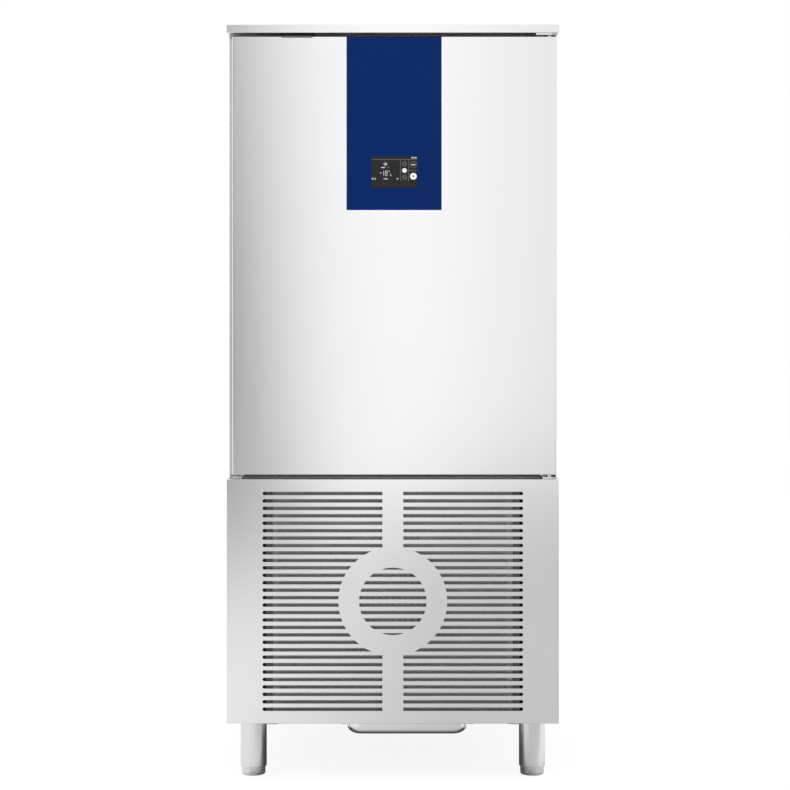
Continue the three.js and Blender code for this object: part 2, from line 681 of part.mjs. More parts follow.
function buildSides() {
  const y0 = FRONT + PANEL_FOLD + CLEAR;
  for (const [name, sign] of [["side_panel_left", -1], ["side_panel_right", 1]]) {
    const x0 = sign > 0 ? SIDE - SHEET : -SIDE;
    add(name, box(x0, x0 + SHEET, y0, BACK, LEG_HEIGHT, CELL_Z), STEEL);
  }
  const x = SIDE - SHEET - CLEAR;
  const plate = box(-x, x, REAR_Y, REAR_Y + SHEET, LEG_HEIGHT, CELL_Z - CLEAR);
  const slots = [];
  for (const side of [-1, 1]) {
    for (let row = 0; row < VENT_ROWS; row += 1) {
      const z = CELL_Z - VENT_DROP - row * VENT_PITCH;
      const x = side * VENT_CENTRE_X;
      const slot = slotShape(x - VENT_LENGTH / 2, x + VENT_LENGTH / 2, z, VENT_HEIGHT);
      slots.push(facing(slot, REAR_Y - 1, REAR_Y + SHEET + 1));
    }
  }
  const gland = rodAlongY(GLAND_RADIUS + CLEAR, GLAND_X, GLAND_Z, REAR_Y - 1, REAR_Y + SHEET + 1, 12);
  add("rear_vent_panel", cut(plate, ...slots, gland), DULL_STEEL);
  const inlet = turnedAlongY(
    [
      [0, REAR_Y - GLAND_REACH],
      [GLAND_RADIUS, REAR_Y - GLAND_REACH],
      [GLAND_RADIUS, REAR_Y + SHEET + CLEAR],
      [GLAND_FLANGE_RADIUS, REAR_Y + SHEET + CLEAR],
      [GLAND_FLANGE_RADIUS, REAR_Y + SHEET + GLAND_REACH / 2],
      [GLAND_RADIUS - 1, REAR_Y + SHEET + GLAND_REACH],
      [GLAND_BORE, REAR_Y + SHEET + GLAND_REACH],
      [GLAND_BORE, REAR_Y],
      [0, REAR_Y],
    ],
    GLAND_X,
    GLAND_Z,
    12,
  );
  add("mains_inlet_gland", inlet, BLACK_PLASTIC);
}

// Louvred front panel: rows of round-ended slots, cut short by a centre bar and a ring,
// with the same rows opened again inside the ring.
function buildGrillePanel() {
  const top = CELL_Z - CLEAR;
  const plate = box(-SIDE, SIDE, FRONT, FRONT + SHEET, LEG_HEIGHT, top);
  const returns = cut(
    box(-SIDE, SIDE, FRONT, FRONT + PANEL_FOLD, LEG_HEIGHT, top),
    box(-SIDE + SHEET, SIDE - SHEET, FRONT - 1, FRONT + PANEL_FOLD + 1, LEG_HEIGHT + SHEET, top - SHEET),
  );
  const ledge = box(-SIDE + SHEET, SIDE - SHEET, FRONT, CELL_FRONT - CLEAR, top - SHEET, top);

  const firstZ = CELL_Z - TOP_ROW_DROP;
  const lastZ = firstZ - (ROWS - 1) * ROW_PITCH;
  const ringZ = (firstZ + lastZ) / 2;
  const fieldX = SIDE - FIELD_MARGIN;
  const y0 = FRONT - 1;
  const y1 = FRONT + SHEET + 1;
  const rows = [];
  for (let row = 0; row < ROWS; row += 1) {
    const z = firstZ - row * ROW_PITCH;
    rows.push(facing(slotShape(-fieldX, fieldX, z, SLOT_HEIGHT), y0, y1));
  }
  const field = wasm.Manifold.union(rows);
  const ring = rodAlongY(RING_OUTER, 0, ringZ, y0 - 1, y1 + 1, 48);
  const bar = box(-BAR_WIDTH / 2, BAR_WIDTH / 2, y0 - 1, y1 + 1, lastZ - ROW_PITCH, firstZ + ROW_PITCH);
  const eye = rodAlongY(RING_INNER, 0, ringZ, y0 - 1, y1 + 1, 36);
  const slots = field.subtract(ring).subtract(bar).add(field.intersect(eye));
  add("front_grille_panel", cut(join(plate, returns, ledge), slots), STEEL);
}

function buildPlant() {
  const fx = SIDE - FILTER_SIDE_GAP;
  const fz0 = FLOOR_Z + CLEAR;
  const fz1 = fz0 + FILTER_HEIGHT;
  const border = FILTER_BORDER;
  const rim = cut(
    box(-fx, fx, FILTER_Y, FILTER_Y + FILTER_THICKNESS, fz0, fz1),
    box(-fx + border, fx - border, FILTER_Y - 1, FILTER_Y + FILTER_THICKNESS + 1, fz0 + border, fz1 - border),
  );
  const middle = FILTER_Y + FILTER_THICKNESS / 2;
  const mesh = box(-fx + 1, fx - 1, middle - FILTER_WEB / 2, middle + FILTER_WEB / 2, fz0 + 1, fz1 - 1);
  add("condenser_filter", rim.add(mesh), DARK_METAL);

  const half = CONDENSER_X;
  const foot = (x) => box(x, x + FIN, CONDENSER_Y0, CONDENSER_Y1, FLOOR_Z, CONDENSER_Z0 + CONDENSER_HEIGHT);
  const coil = finnedCoil({
    x0: -half, x1: half, y0: CONDENSER_Y0, y1: CONDENSER_Y1, z0: CONDENSER_Z0,
    z1: CONDENSER_Z0 + CONDENSER_HEIGHT, fins: CONDENSER_FINS, bends: 3, feet: [foot(-half), foot(half - FIN)],
  });
  add("condenser_coil", coil, ALUMINIUM);

  const opening = COND_FAN_RADIUS + TIP_CLEAR;
  const y0 = CONDENSER_Y1 + CLEAR;
  const shroud = join(
    box(-half, half, y0, y0 + SHEET, CONDENSER_Z0 - 20, CONDENSER_Z0 + CONDENSER_HEIGHT + 20),
    box(-half, half, y0, y0 + 20, FLOOR_Z, FLOOR_Z + SHEET),
    box(-half, half, y0, y0 + SHEET, FLOOR_Z, CONDENSER_Z0),
    rodAlongY(opening + SHEET, 0, FAN_CENTRE_Z, y0, y0 + SHROUD_RING, 32),
  );
  const bore = rodAlongY(opening, 0, FAN_CENTRE_Z, y0 - 1, y0 + SHROUD_RING + 1, 32);
  add("condenser_fan_shroud", cut(shroud, bore), DULL_STEEL);
  const hubDepth = 26;
  add("condenser_fan_blades", fanBlades(COND_FAN_RADIUS, 0, FAN_CENTRE_Z, y0 + 3, hubDepth, 5), BLACK_PLASTIC);
  add(
    "condenser_fan_motor",
    fanMotor(0, FAN_CENTRE_Z, y0 + 3, hubDepth, y0 + SHROUD_RING + CLEAR, opening + SHEET),
    DARK_METAL,
  );

  buildRefrigeration();
}

const SUCTION_PORT = [COMPRESSOR_X - COMPRESSOR_RADIUS + 20, COMPRESSOR_Y];
const DISCHARGE_PORT = [COMPRESSOR_X + 40, COMPRESSOR_Y - 30];
const COMPRESSOR_TOP = FLOOR_Z + COMPRESSOR_HEIGHT;

function buildRefrigeration() {
  const r = COMPRESSOR_RADIUS;
  const shell = turned(
    [
      [0, FLOOR_Z + 18],
      [r - 26, FLOOR_Z + 18],
      [r - 6, FLOOR_Z + 32],
      [r, FLOOR_Z + 50],
      [r, COMPRESSOR_TOP - 60],
      [r - 8, COMPRESSOR_TOP - 30],
      [r - 30, COMPRESSOR_TOP - 8],
      [0, COMPRESSOR_TOP],
    ],
    COMPRESSOR_X,
    COMPRESSOR_Y,
    18,
  );
  const plate = box(
    COMPRESSOR_X - r, COMPRESSOR_X + r, COMPRESSOR_Y - r, COMPRESSOR_Y + r, FLOOR_Z + 14, FLOOR_Z + 20,
  );
  const mounts = [-1, 1].flatMap((sx) =>
    [-1, 1].map((sy) =>
      rod(12, COMPRESSOR_X + sx * (r - 14), COMPRESSOR_Y + sy * (r - 14), FLOOR_Z, FLOOR_Z + 15, 10),
    ),
  );
  const ports = [SUCTION_PORT, DISCHARGE_PORT].map(([x, y]) =>
    rod(12, x, y, COMPRESSOR_TOP - 90, COMPRESSOR_TOP, 10),
  );
  add("compressor", join(shell, plate, ...mounts, ...ports), DARK_METAL);

  const rr = RECEIVER_RADIUS;
  const receiverTop = FLOOR_Z + RECEIVER_HEIGHT;
  const vessel = turned(
    [
      [0, FLOOR_Z],
      [rr - 8, FLOOR_Z],
      [rr - 8, FLOOR_Z + 14],
      [rr, FLOOR_Z + 26],
      [rr, receiverTop - 24],
      [rr - 14, receiverTop - 6],
      [0, receiverTop],
    ],
    RECEIVER_X,
    RECEIVER_Y,
    16,
  );
  add("liquid_receiver", vessel, DARK_METAL);

  const drierX = LIQUID_X;
  const drierZ = CELL_Z - 200;
  const drier = cut(
    turned(
      [
        [0, drierZ],
        [PIPE_SMALL + 3, drierZ],
        [DRIER_RADIUS, drierZ + 16],
        [DRIER_RADIUS, drierZ + DRIER_HEIGHT - 16],
        [PIPE_SMALL + 3, drierZ + DRIER_HEIGHT],
        [0, drierZ + DRIER_HEIGHT],
      ],
      drierX,
      PASS_Y,
      16,
    ),
    rod(PIPE_SMALL + SHAFT_CLEAR, drierX, PASS_Y, drierZ - 1, drierZ + DRIER_HEIGHT + 1, 12),
  );
  add("filter_drier", drier, COPPER);

  const entryZ = COIL_Z0 + 40;
  const coilFace = COIL_Y0 - CLEAR;
  const suction = pipe(
    [
      [SUCTION_PORT[0], SUCTION_PORT[1], COMPRESSOR_TOP + CLEAR],
      [SUCTION_PORT[0], SUCTION_PORT[1], COMPRESSOR_TOP + 90],
      [SUCTION_X, PASS_Y, COMPRESSOR_TOP + 130],
      [SUCTION_X, PASS_Y, entryZ],
    ],
    PIPE_LARGE,
    14,
  );
  add("suction_pipe", suction, COPPER);
  const liquid = pipe(
    [
      [RECEIVER_X, RECEIVER_Y, receiverTop + CLEAR],
      [RECEIVER_X, RECEIVER_Y, receiverTop + 60],
      [LIQUID_X, PASS_Y, receiverTop + 90],
      [LIQUID_X, PASS_Y, entryZ],
    ],
    PIPE_SMALL,
    14,
  );
  add("liquid_pipe", liquid, COPPER);
  const discharge = pipe(
    [
      [DISCHARGE_PORT[0], DISCHARGE_PORT[1], COMPRESSOR_TOP + CLEAR],
      [DISCHARGE_PORT[0], DISCHARGE_PORT[1], COMPRESSOR_TOP + 60],
      [-CONDENSER_X - 14, DRAIN_Y, COMPRESSOR_TOP + 60],
      [-CONDENSER_X - 14, (CONDENSER_Y0 + CONDENSER_Y1) / 2, COMPRESSOR_TOP + 60],
    ],
    PIPE_SMALL,
    14,
  );
  add("discharge_pipe", discharge, COPPER);

  const boxX = SIDE - SHEET - 2 * CLEAR;
  const boxY0 = CELL_FRONT + POST + ELECTRICAL_INSET_Y;
  const boxY1 = REAR_Y - POST - ELECTRICAL_INSET_Y;
  const boxZ0 = CELL_Z - ELECTRICAL_HEIGHT;
  const edge = ELECTRICAL_BORDER;
  const cabinet = cut(
    box(boxX - ELECTRICAL_WIDTH, boxX, boxY0, boxY1, boxZ0, CELL_Z - CLEAR),
    box(
      boxX - 2 * ELECTRICAL_WIDTH, boxX - ELECTRICAL_WIDTH + ELECTRICAL_RECESS, boxY0 + edge, boxY1 - edge,
      boxZ0 + edge, CELL_Z - edge,
    ),
  );
  add("electrical_box", cabinet, GREY_PLASTIC);
}

// ---------------------------------------------------------------- legs, feet and drip tray
function buildLegs() {
  const legX = SIDE - LEG_INSET_X;
  const places = [
    ["front_left", -legX, FRONT + LEG_INSET_Y],
    ["front_right", legX, FRONT + LEG_INSET_Y],
    ["rear_left", -legX, BACK - LEG_INSET_Y],
    ["rear_right", legX, BACK - LEG_INSET_Y],
  ];
  const insertZ = FOOT_HEIGHT + FOOT_NECK + FOOT_TRAVEL / 2;
  const bore = STEM_RADIUS + CLEAR;
  for (const [place, x, y] of places) {
    const leg = turned(
      [
        [LEG_RADIUS - LEG_WALL, FOOT_HEIGHT],
        [LEG_RADIUS, FOOT_HEIGHT],
        [LEG_RADIUS, LEG_HEIGHT],
        [0, LEG_HEIGHT],
        [0, LEG_HEIGHT - LEG_WALL],
        [LEG_RADIUS - LEG_WALL, LEG_HEIGHT - LEG_WALL],
        [LEG_RADIUS - LEG_WALL, insertZ + INSERT_HEIGHT],
        [bore, insertZ + INSERT_HEIGHT],
        [bore, insertZ],
        [LEG_RADIUS - LEG_WALL, insertZ],
        [LEG_RADIUS - LEG_WALL, FOOT_HEIGHT],
      ],
      x,
      y,
      16,
    );
    add(`leg_${place}`, leg, STEEL);
    const foot = turned(
      [
        [0, 0],
        [FOOT_RADIUS - 6, 0],
        [FOOT_RADIUS - 2, 2],
        [FOOT_RADIUS, 6],
        [FOOT_RADIUS, FOOT_HEIGHT + FOOT_NECK],
        [STEM_RADIUS, FOOT_HEIGHT + FOOT_NECK],
        [STEM_RADIUS, insertZ + INSERT_HEIGHT + FOOT_TRAVEL],
        [0, insertZ + INSERT_HEIGHT + FOOT_TRAVEL],
      ],
      x,
      y,
      16,
    );
    add(`foot_${place}`, foot, DULL_STEEL);
  }
}

const RUNNER_Z = LEG_HEIGHT - RUNNER_THICKNESS;
const RIM_Z = RUNNER_Z - CLEAR - TRAY_WALL;

// A pan with rounded lower edges and corners, open at the top.
function panSolid(halfX, y0, y1, z0, z1, edge) {
  const plan = roundedRect(-halfX + edge, halfX - edge, y0 + edge, y1 - edge, 8);
  const geometry = new THREE.ExtrudeGeometry(plan, {
    depth: 2 * (z1 - z0), bevelEnabled: true, bevelSize: edge, bevelThickness: edge, bevelSegments: 3,
    curveSegments: 2,
  });
  geometry.translate(TRAY_X, 0, z0 + edge);
  const above = box(TRAY_X - 2 * halfX, TRAY_X + 2 * halfX, y0 - 50, y1 + 50, z1, z1 + 400);
  return cut(solid(geometry), above);
}

function buildTray() {
  const half = TRAY_WIDTH / 2;
  const y0 = FRONT + TRAY_SETBACK;
  const y1 = y0 + TRAY_LENGTH;
  const rimTop = RIM_Z + TRAY_WALL;
  const outer = panSolid(half, y0, y1, TRAY_BOTTOM_Z, rimTop, TRAY_EDGE);
  const inner = panSolid(
    half - TRAY_WALL, y0 + TRAY_WALL, y1 - TRAY_WALL, TRAY_BOTTOM_Z + TRAY_WALL, rimTop + 10, TRAY_EDGE - TRAY_WALL,
  );
  const rim = box(TRAY_X - half - RIM_WIDTH, TRAY_X + half + RIM_WIDTH, y0 + 10, y1 - 10, RIM_Z, rimTop);
  add("drip_tray", cut(join(outer, rim), inner), STEEL);

  const t = RUNNER_THICKNESS;
  const web = half + RIM_WIDTH + CLEAR;
  const lipZ = RIM_Z - CLEAR - t;
  for (const [name, sign] of [["tray_runner_left", -1], ["tray_runner_right", 1]]) {
    const outline = [
      [half + 2, lipZ],
      [web + t, lipZ],
      [web + t, RUNNER_Z],
      [web + 20, RUNNER_Z],
      [web + 20, LEG_HEIGHT],
      [web - 6, LEG_HEIGHT],
      [web - 6, RUNNER_Z],
      [web, RUNNER_Z],
      [web, lipZ + t],
      [half + 2, lipZ + t],
    ].map(([x, z]) => [TRAY_X + sign * x, z]);
    const shape = polygon(sign > 0 ? outline : outline.reverse());
    add(name, facing(shape, FRONT + PANEL_FOLD + CLEAR, y1 + 10), DULL_STEEL);
  }
}

function buildDrain() {
  const flange = DRAIN_FLANGE_RADIUS;
  const seat = MOUTH_Z0 + CLEAR;
  const top = seat + DRAIN_FLANGE;
  const end = LEG_HEIGHT - DRAIN_STUB;
  const tube = turned(
    [
      [DRAIN_RADIUS - DRAIN_WALL, end],
      [DRAIN_RADIUS, end],
      [DRAIN_RADIUS, seat],
      [flange, seat],
      [flange, top],
      [DRAIN_RADIUS - DRAIN_WALL, top],
      [DRAIN_RADIUS - DRAIN_WALL, end],
    ],
    DRAIN_X,
    DRAIN_Y,
    16,
  );
  add("drain_pipe", tube, STEEL);
  const r = DRAIN_RADIUS - DRAIN_WALL - CLEAR;
  const plug = turned(
    [
      [0, top - 18],
      [r - 2, top - 18],
      [r, top],
      [flange - 2, top + CLEAR],
      [flange - 3, top + 5],
      [6, top + 6],
      [6, top + PLUG_LIFT_HEAD],
      [9, top + PLUG_LIFT_HEAD + 4],
      [6, top + PLUG_LIFT_HEAD + 10],
      [0, top + PLUG_LIFT_HEAD + 10],
    ],
    DRAIN_X,
    DRAIN_Y,
    12,
  );
  add("drain_plug", plug, RUBBER);
}

function buildProbeGland() {
  const wall = MOUTH_X - CLEAR;
  const z = MOUTH_Z0 + FIRST_LEVEL + LEVEL_PITCH / 2;
  const y = RACK_BACK + 12;
  const gland = join(rodAlongX(9, y, z, wall - 10, wall, 12), rodAlongX(13, y, z, wall - 4, wall, 12));
  add("core_probe_gland", gland, BLACK_PLASTIC);
}

// ---------------------------------------------------------------- door
const HINGE_X = DOOR_RIGHT - PIN_INSET_X;
const HINGE_Y = DOOR_FRONT + PIN_INSET_Y;
const LINER_Y = DOOR_BACK - SHEET;
const DISPLAY_X0 = FASCIA_X - DISPLAY_WIDTH / 2;
const DISPLAY_X1 = FASCIA_X + DISPLAY_WIDTH / 2;
const DISPLAY_Z1 = DOOR_Z1 - DISPLAY_DROP;
const DISPLAY_Z0 = DISPLAY_Z1 - DISPLAY_HEIGHT;

// Plan of the door with the grip channel in its left edge and rounded right corners.
function doorPlan() {
  const x = DOOR_LEFT + LIP_SETBACK;
  const lip = DOOR_FRONT + LIP_THICKNESS;
  const r = EDGE_RADIUS;
  const plan = new THREE.Shape();
  plan.moveTo(x + r, DOOR_FRONT);
  plan.lineTo(DOOR_RIGHT - r, DOOR_FRONT);
  plan.absarc(DOOR_RIGHT - r, DOOR_FRONT + r, r, -Math.PI / 2, 0, false);
  plan.lineTo(DOOR_RIGHT, LINER_Y - r);
  plan.absarc(DOOR_RIGHT - r, LINER_Y - r, r, 0, Math.PI / 2, false);
  plan.lineTo(DOOR_LEFT, LINER_Y);
  plan.lineTo(DOOR_LEFT, lip + GRIP_WIDTH);
  plan.lineTo(x + GRIP_DEPTH, lip + GRIP_WIDTH);
  plan.lineTo(x + GRIP_DEPTH, lip);
  plan.lineTo(x, lip);
  plan.lineTo(x, DOOR_FRONT + r);
  plan.absarc(x + r, DOOR_FRONT + r, r, Math.PI, Math.PI * 1.5, false);
  return plan;
}

function buildDoor() {
  const x = DOOR_LEFT + LIP_SETBACK;
  const lip = DOOR_FRONT + LIP_THICKNESS;
  const wall = GRIP_WALL;
  const z0 = DOOR_Z0 + SHEET;
  const z1 = DOOR_Z1 - SHEET;
  const bores = [
    rod(PIN_BORE, HINGE_X, HINGE_Y, DOOR_Z0 - 1, DOOR_Z0 + PIN_REACH + 2, 16),
    rod(PIN_BORE, HINGE_X, HINGE_Y, DOOR_Z1 - PIN_REACH - 2, DOOR_Z1 + 1, 16),
  ];
  const inset = DISPLAY_HOUSING_INSET;
  const housingSpace = box(
    DISPLAY_X0 + inset - CLEAR, DISPLAY_X1 - inset + CLEAR, FRONT - 1, DOOR_FRONT + DISPLAY_HOUSING_DEPTH + CLEAR,
    DISPLAY_Z0 + inset - CLEAR, DISPLAY_Z1 - inset + CLEAR,
  );

  const r = EDGE_RADIUS;
  const inner = new THREE.Shape();
  inner.moveTo(x + r, DOOR_FRONT + SHEET);
  inner.lineTo(DOOR_RIGHT - r, DOOR_FRONT + SHEET);
  inner.absarc(DOOR_RIGHT - r, DOOR_FRONT + r, r - SHEET, -Math.PI / 2, 0, false);
  inner.lineTo(DOOR_RIGHT - SHEET, LINER_Y - r);
  inner.lineTo(DOOR_RIGHT - r, LINER_Y);
  inner.lineTo(DOOR_LEFT + wall, LINER_Y);
  inner.lineTo(DOOR_LEFT + wall, lip + GRIP_WIDTH + wall);
  inner.lineTo(x + GRIP_DEPTH + wall, lip + GRIP_WIDTH + wall);
  inner.lineTo(x + GRIP_DEPTH + wall, lip - wall);
  inner.lineTo(x + SHEET, lip - wall);
  inner.lineTo(x + SHEET, DOOR_FRONT + r);
  inner.absarc(x + r, DOOR_FRONT + r, r - SHEET, Math.PI, Math.PI * 1.5, false);
  const foamBlock = upright(inner, z0, z1);

  const gripShape = polygon([
    [x, lip - wall],
    [x + GRIP_DEPTH + wall, lip - wall],
    [x + GRIP_DEPTH + wall, lip + GRIP_WIDTH + wall],
    [DOOR_LEFT + wall, lip + GRIP_WIDTH + wall],
    [DOOR_LEFT + wall, LINER_Y],
    [DOOR_LEFT, LINER_Y],
    [DOOR_LEFT, lip + GRIP_WIDTH],
    [x + GRIP_DEPTH, lip + GRIP_WIDTH],
    [x + GRIP_DEPTH, lip],
    [x, lip],
  ]);
  const grip = upright(gripShape, z0, z1);
  add("door_grip_profile", grip, STEEL, door);

  const shell = cut(upright(doorPlan(), DOOR_Z0, DOOR_Z1), foamBlock, grip, ...bores, housingSpace);
  add("door_outer_skin", shell, STEEL, door);

  const plugShape = roundedRect(
    -MOUTH_X + PLUG_CLEAR, MOUTH_X - PLUG_CLEAR, MOUTH_Z0 + PLUG_CLEAR, MOUTH_Z1 - PLUG_CLEAR, LINER_RADIUS,
  );
  const plugInner = roundedRect(
    -MOUTH_X + PLUG_CLEAR + SHEET, MOUTH_X - PLUG_CLEAR - SHEET, MOUTH_Z0 + PLUG_CLEAR + SHEET,
    MOUTH_Z1 - PLUG_CLEAR - SHEET, LINER_RADIUS - SHEET,
  );
  const plugEnd = CELL_FRONT + PLUG_DEPTH;
  const plate = box(DOOR_LEFT, DOOR_RIGHT - r, LINER_Y, DOOR_BACK, DOOR_Z0, DOOR_Z1);
  const raised = facing(plugInner, LINER_Y - 1, plugEnd - SHEET);
  add("door_inner_liner", cut(plate.add(facing(plugShape, LINER_Y, plugEnd)), raised), STEEL, door);
  const filling = facing(plugInner, LINER_Y - SHEET, plugEnd - SHEET);
  add("door_foam", cut(foamBlock.add(filling), ...bores, housingSpace), FOAM, door);

  const g = GASKET_INSET;
  const gasketOuter = roundedRect(
    -MOUTH_X - g - GASKET_WIDTH, MOUTH_X + g + GASKET_WIDTH, MOUTH_Z0 - g - GASKET_WIDTH,
    MOUTH_Z1 + g + GASKET_WIDTH, LINER_RADIUS,
  );
  const gasketInner = roundedRect(-MOUTH_X - g, MOUTH_X + g, MOUTH_Z0 - g, MOUTH_Z1 + g, 6);
  const gasket = cut(
    facing(gasketOuter, DOOR_BACK, CELL_FRONT - CLEAR),
    facing(gasketInner, DOOR_BACK - 1, CELL_FRONT),
  );
  add("door_gasket", gasket, RUBBER, door);

  buildControls(inset);
}

function buildControls(inset) {
  const panel = box(
    FASCIA_X - FASCIA_WIDTH / 2, FASCIA_X + FASCIA_WIDTH / 2, FRONT, DOOR_FRONT, DOOR_Z1 - FASCIA_HEIGHT, DOOR_Z1,
  );
  const window = box(
    DISPLAY_X0 - CLEAR, DISPLAY_X1 + CLEAR, FRONT - 1, DOOR_FRONT + 1, DISPLAY_Z0 - CLEAR, DISPLAY_Z1 + CLEAR,
  );
  add("control_fascia", panel.subtract(window), BLUE, door);
  const glass = facing(
    roundedRect(DISPLAY_X0, DISPLAY_X1, DISPLAY_Z0, DISPLAY_Z1, 3), FRONT, DOOR_FRONT,
  );
  const housing = box(
    DISPLAY_X0 + inset, DISPLAY_X1 - inset, FRONT + 1, DOOR_FRONT + DISPLAY_HOUSING_DEPTH,
    DISPLAY_Z0 + inset, DISPLAY_Z1 - inset,
  );
  add("touch_display", glass.add(housing), BLACK_PLASTIC, door);
}

// ---------------------------------------------------------------- hinges and switch
function hingePlate(width, z0) {
  const right = DOOR_RIGHT;
  const front = HINGE_Y - PIN_RADIUS - 6;
  const plan = polygon([
    [right - width, front],
    [right - HINGE_CHAMFER, front],
    [right, front + HINGE_CHAMFER],
    [right, CELL_FRONT],
    [right - width, CELL_FRONT],
  ]);
  return cut(upright(plan, z0, z0 + HINGE_PLATE), rod(PIN_RADIUS + CLEAR, HINGE_X, HINGE_Y, z0 - 1, z0 + HINGE_PLATE + 1, 12));
}

function buildHinges() {
  const right = DOOR_RIGHT;
  const y0 = CELL_FRONT - HINGE_FLANGE;
  const upperZ = LID_Z - HINGE_PLATE;
  const upperFlange = box(
    right - UPPER_HINGE_WIDTH, right, y0, CELL_FRONT, LID_Z - HINGE_FLANGE_HEIGHT, upperZ + 1,
  );
  add("hinge_bracket_upper", hingePlate(UPPER_HINGE_WIDTH, upperZ).add(upperFlange), STEEL);
  const lowerZ = CELL_Z + CLEAR;
  const lowerFlange = box(
    right - LOWER_HINGE_WIDTH, right, y0, CELL_FRONT, lowerZ + 1, CELL_Z + HINGE_FLANGE_HEIGHT,
  );
  add("hinge_bracket_lower", hingePlate(LOWER_HINGE_WIDTH, lowerZ).add(lowerFlange), STEEL);

  const pinTop = turned(
    [
      [0, DOOR_Z1 - PIN_REACH],
      [PIN_RADIUS, DOOR_Z1 - PIN_REACH],
      [PIN_RADIUS, DOOR_Z1 + CLEAR],
      [PIN_COLLAR_RADIUS, DOOR_Z1 + CLEAR],
      [PIN_COLLAR_RADIUS, upperZ - CLEAR],
      [PIN_RADIUS, upperZ - CLEAR],
      [PIN_RADIUS, LID_Z - CLEAR],
      [0, LID_Z - CLEAR],
    ],
    HINGE_X,
    HINGE_Y,
    12,
  );
  add("hinge_pin_upper", pinTop, DULL_STEEL);
  const pinBottom = turned(
    [
      [0, lowerZ],
      [PIN_RADIUS, lowerZ],
      [PIN_RADIUS, lowerZ + HINGE_PLATE + CLEAR],
      [PIN_COLLAR_RADIUS, lowerZ + HINGE_PLATE + CLEAR],
      [PIN_COLLAR_RADIUS, DOOR_Z0 - CLEAR],
      [PIN_RADIUS, DOOR_Z0 - CLEAR],
      [PIN_RADIUS, DOOR_Z0 + PIN_REACH],
      [0, DOOR_Z0 + PIN_REACH],
    ],
    HINGE_X,
    HINGE_Y,
    12,
  );
  add("hinge_pin_lower", pinBottom, DULL_STEEL);

  const stopX = DOOR_LEFT + LIP_SETBACK;
  const stop = join(
    box(stopX, stopX + STOP_WIDTH, DOOR_FRONT + LIP_THICKNESS, CELL_FRONT, lowerZ, lowerZ + HINGE_PLATE),
    box(stopX, stopX + STOP_WIDTH, y0, CELL_FRONT, lowerZ, CELL_Z + HINGE_FLANGE_HEIGHT),
  );
  add("spare_hinge_bracket", stop, STEEL);

  const switchX0 = -SIDE + SWITCH_INSET_X;
  const switchX1 = switchX0 + SWITCH_WIDTH;
  const tail = MOUTH_Z1 + GASKET_INSET + GASKET_WIDTH + SWITCH_GAP;
  const block = join(
    box(switchX0, switchX1, DOOR_FRONT + SWITCH_INSET_Y, CELL_FRONT, DOOR_Z1 + SWITCH_DOOR_GAP, LID_Z - CLEAR),
    box(switchX0, switchX1, y0, CELL_FRONT, tail, LID_Z - CLEAR),
  );
  add("door_switch", block, BLACK_PLASTIC);
}

const door = new THREE.Group();
door.name = "door";
chiller.add(door);

buildCell();
buildLid();
buildRack();
buildEvaporator();
buildBase();
buildSides();
buildGrillePanel();
buildPlant();
buildLegs();
buildTray();
buildDrain();
buildProbeGland();
buildDoor();
buildHinges();

export default chiller;
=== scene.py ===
"""Blast chiller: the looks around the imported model, in metres, in the same frame."""
import itertools
import json
import math

import bmesh
import bpy
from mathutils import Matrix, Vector, geometry


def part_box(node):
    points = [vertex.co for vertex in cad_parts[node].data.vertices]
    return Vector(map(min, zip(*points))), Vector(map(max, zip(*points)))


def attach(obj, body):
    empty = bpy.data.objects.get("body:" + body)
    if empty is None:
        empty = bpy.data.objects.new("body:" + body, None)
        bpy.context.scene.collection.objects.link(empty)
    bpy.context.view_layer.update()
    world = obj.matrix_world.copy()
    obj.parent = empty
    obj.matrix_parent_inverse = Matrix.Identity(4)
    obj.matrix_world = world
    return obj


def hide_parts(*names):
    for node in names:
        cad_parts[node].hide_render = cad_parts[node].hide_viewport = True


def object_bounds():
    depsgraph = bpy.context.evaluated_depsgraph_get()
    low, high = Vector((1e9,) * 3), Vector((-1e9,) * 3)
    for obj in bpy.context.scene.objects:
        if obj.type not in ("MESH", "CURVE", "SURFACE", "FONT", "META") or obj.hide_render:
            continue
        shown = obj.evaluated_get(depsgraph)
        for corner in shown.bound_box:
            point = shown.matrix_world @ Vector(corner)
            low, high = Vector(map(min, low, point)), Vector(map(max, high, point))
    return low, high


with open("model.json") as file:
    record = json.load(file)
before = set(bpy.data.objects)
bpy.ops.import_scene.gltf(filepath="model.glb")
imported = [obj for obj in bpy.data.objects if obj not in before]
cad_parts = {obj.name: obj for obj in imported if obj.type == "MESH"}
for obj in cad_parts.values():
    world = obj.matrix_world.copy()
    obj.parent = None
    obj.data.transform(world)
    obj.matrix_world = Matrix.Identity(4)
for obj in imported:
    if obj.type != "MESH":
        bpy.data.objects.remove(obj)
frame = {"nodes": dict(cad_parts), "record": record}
CAD_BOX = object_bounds()
NODES = frame["nodes"]
MM = 0.001

# ---- camera and studio
FRAME_WIDTH = 1.877  # what the frame takes in at the plane of the door, from the photograph
CAMERA_DISTANCE = 4.0  # from the plane of the door
CAMERA_HEIGHT = 0.920
CAMERA_X = 0.0052
SENSOR = 36.0
WHITE = (1, 1, 1)


def into_scene(name, data):
    made = bpy.data.objects.new(name, data)
    bpy.context.scene.collection.objects.link(made)
    return made


def make_camera():
    data = bpy.data.cameras.new("camera")
    data.sensor_width = SENSOR
    data.lens = SENSOR * CAMERA_DISTANCE / FRAME_WIDTH
    camera = into_scene("camera", data)
    camera.location = (CAMERA_X, CAD_BOX[0][1] - CAMERA_DISTANCE, CAMERA_HEIGHT)
    camera.rotation_euler = (math.pi / 2, 0, 0)
    bpy.context.scene.camera = camera


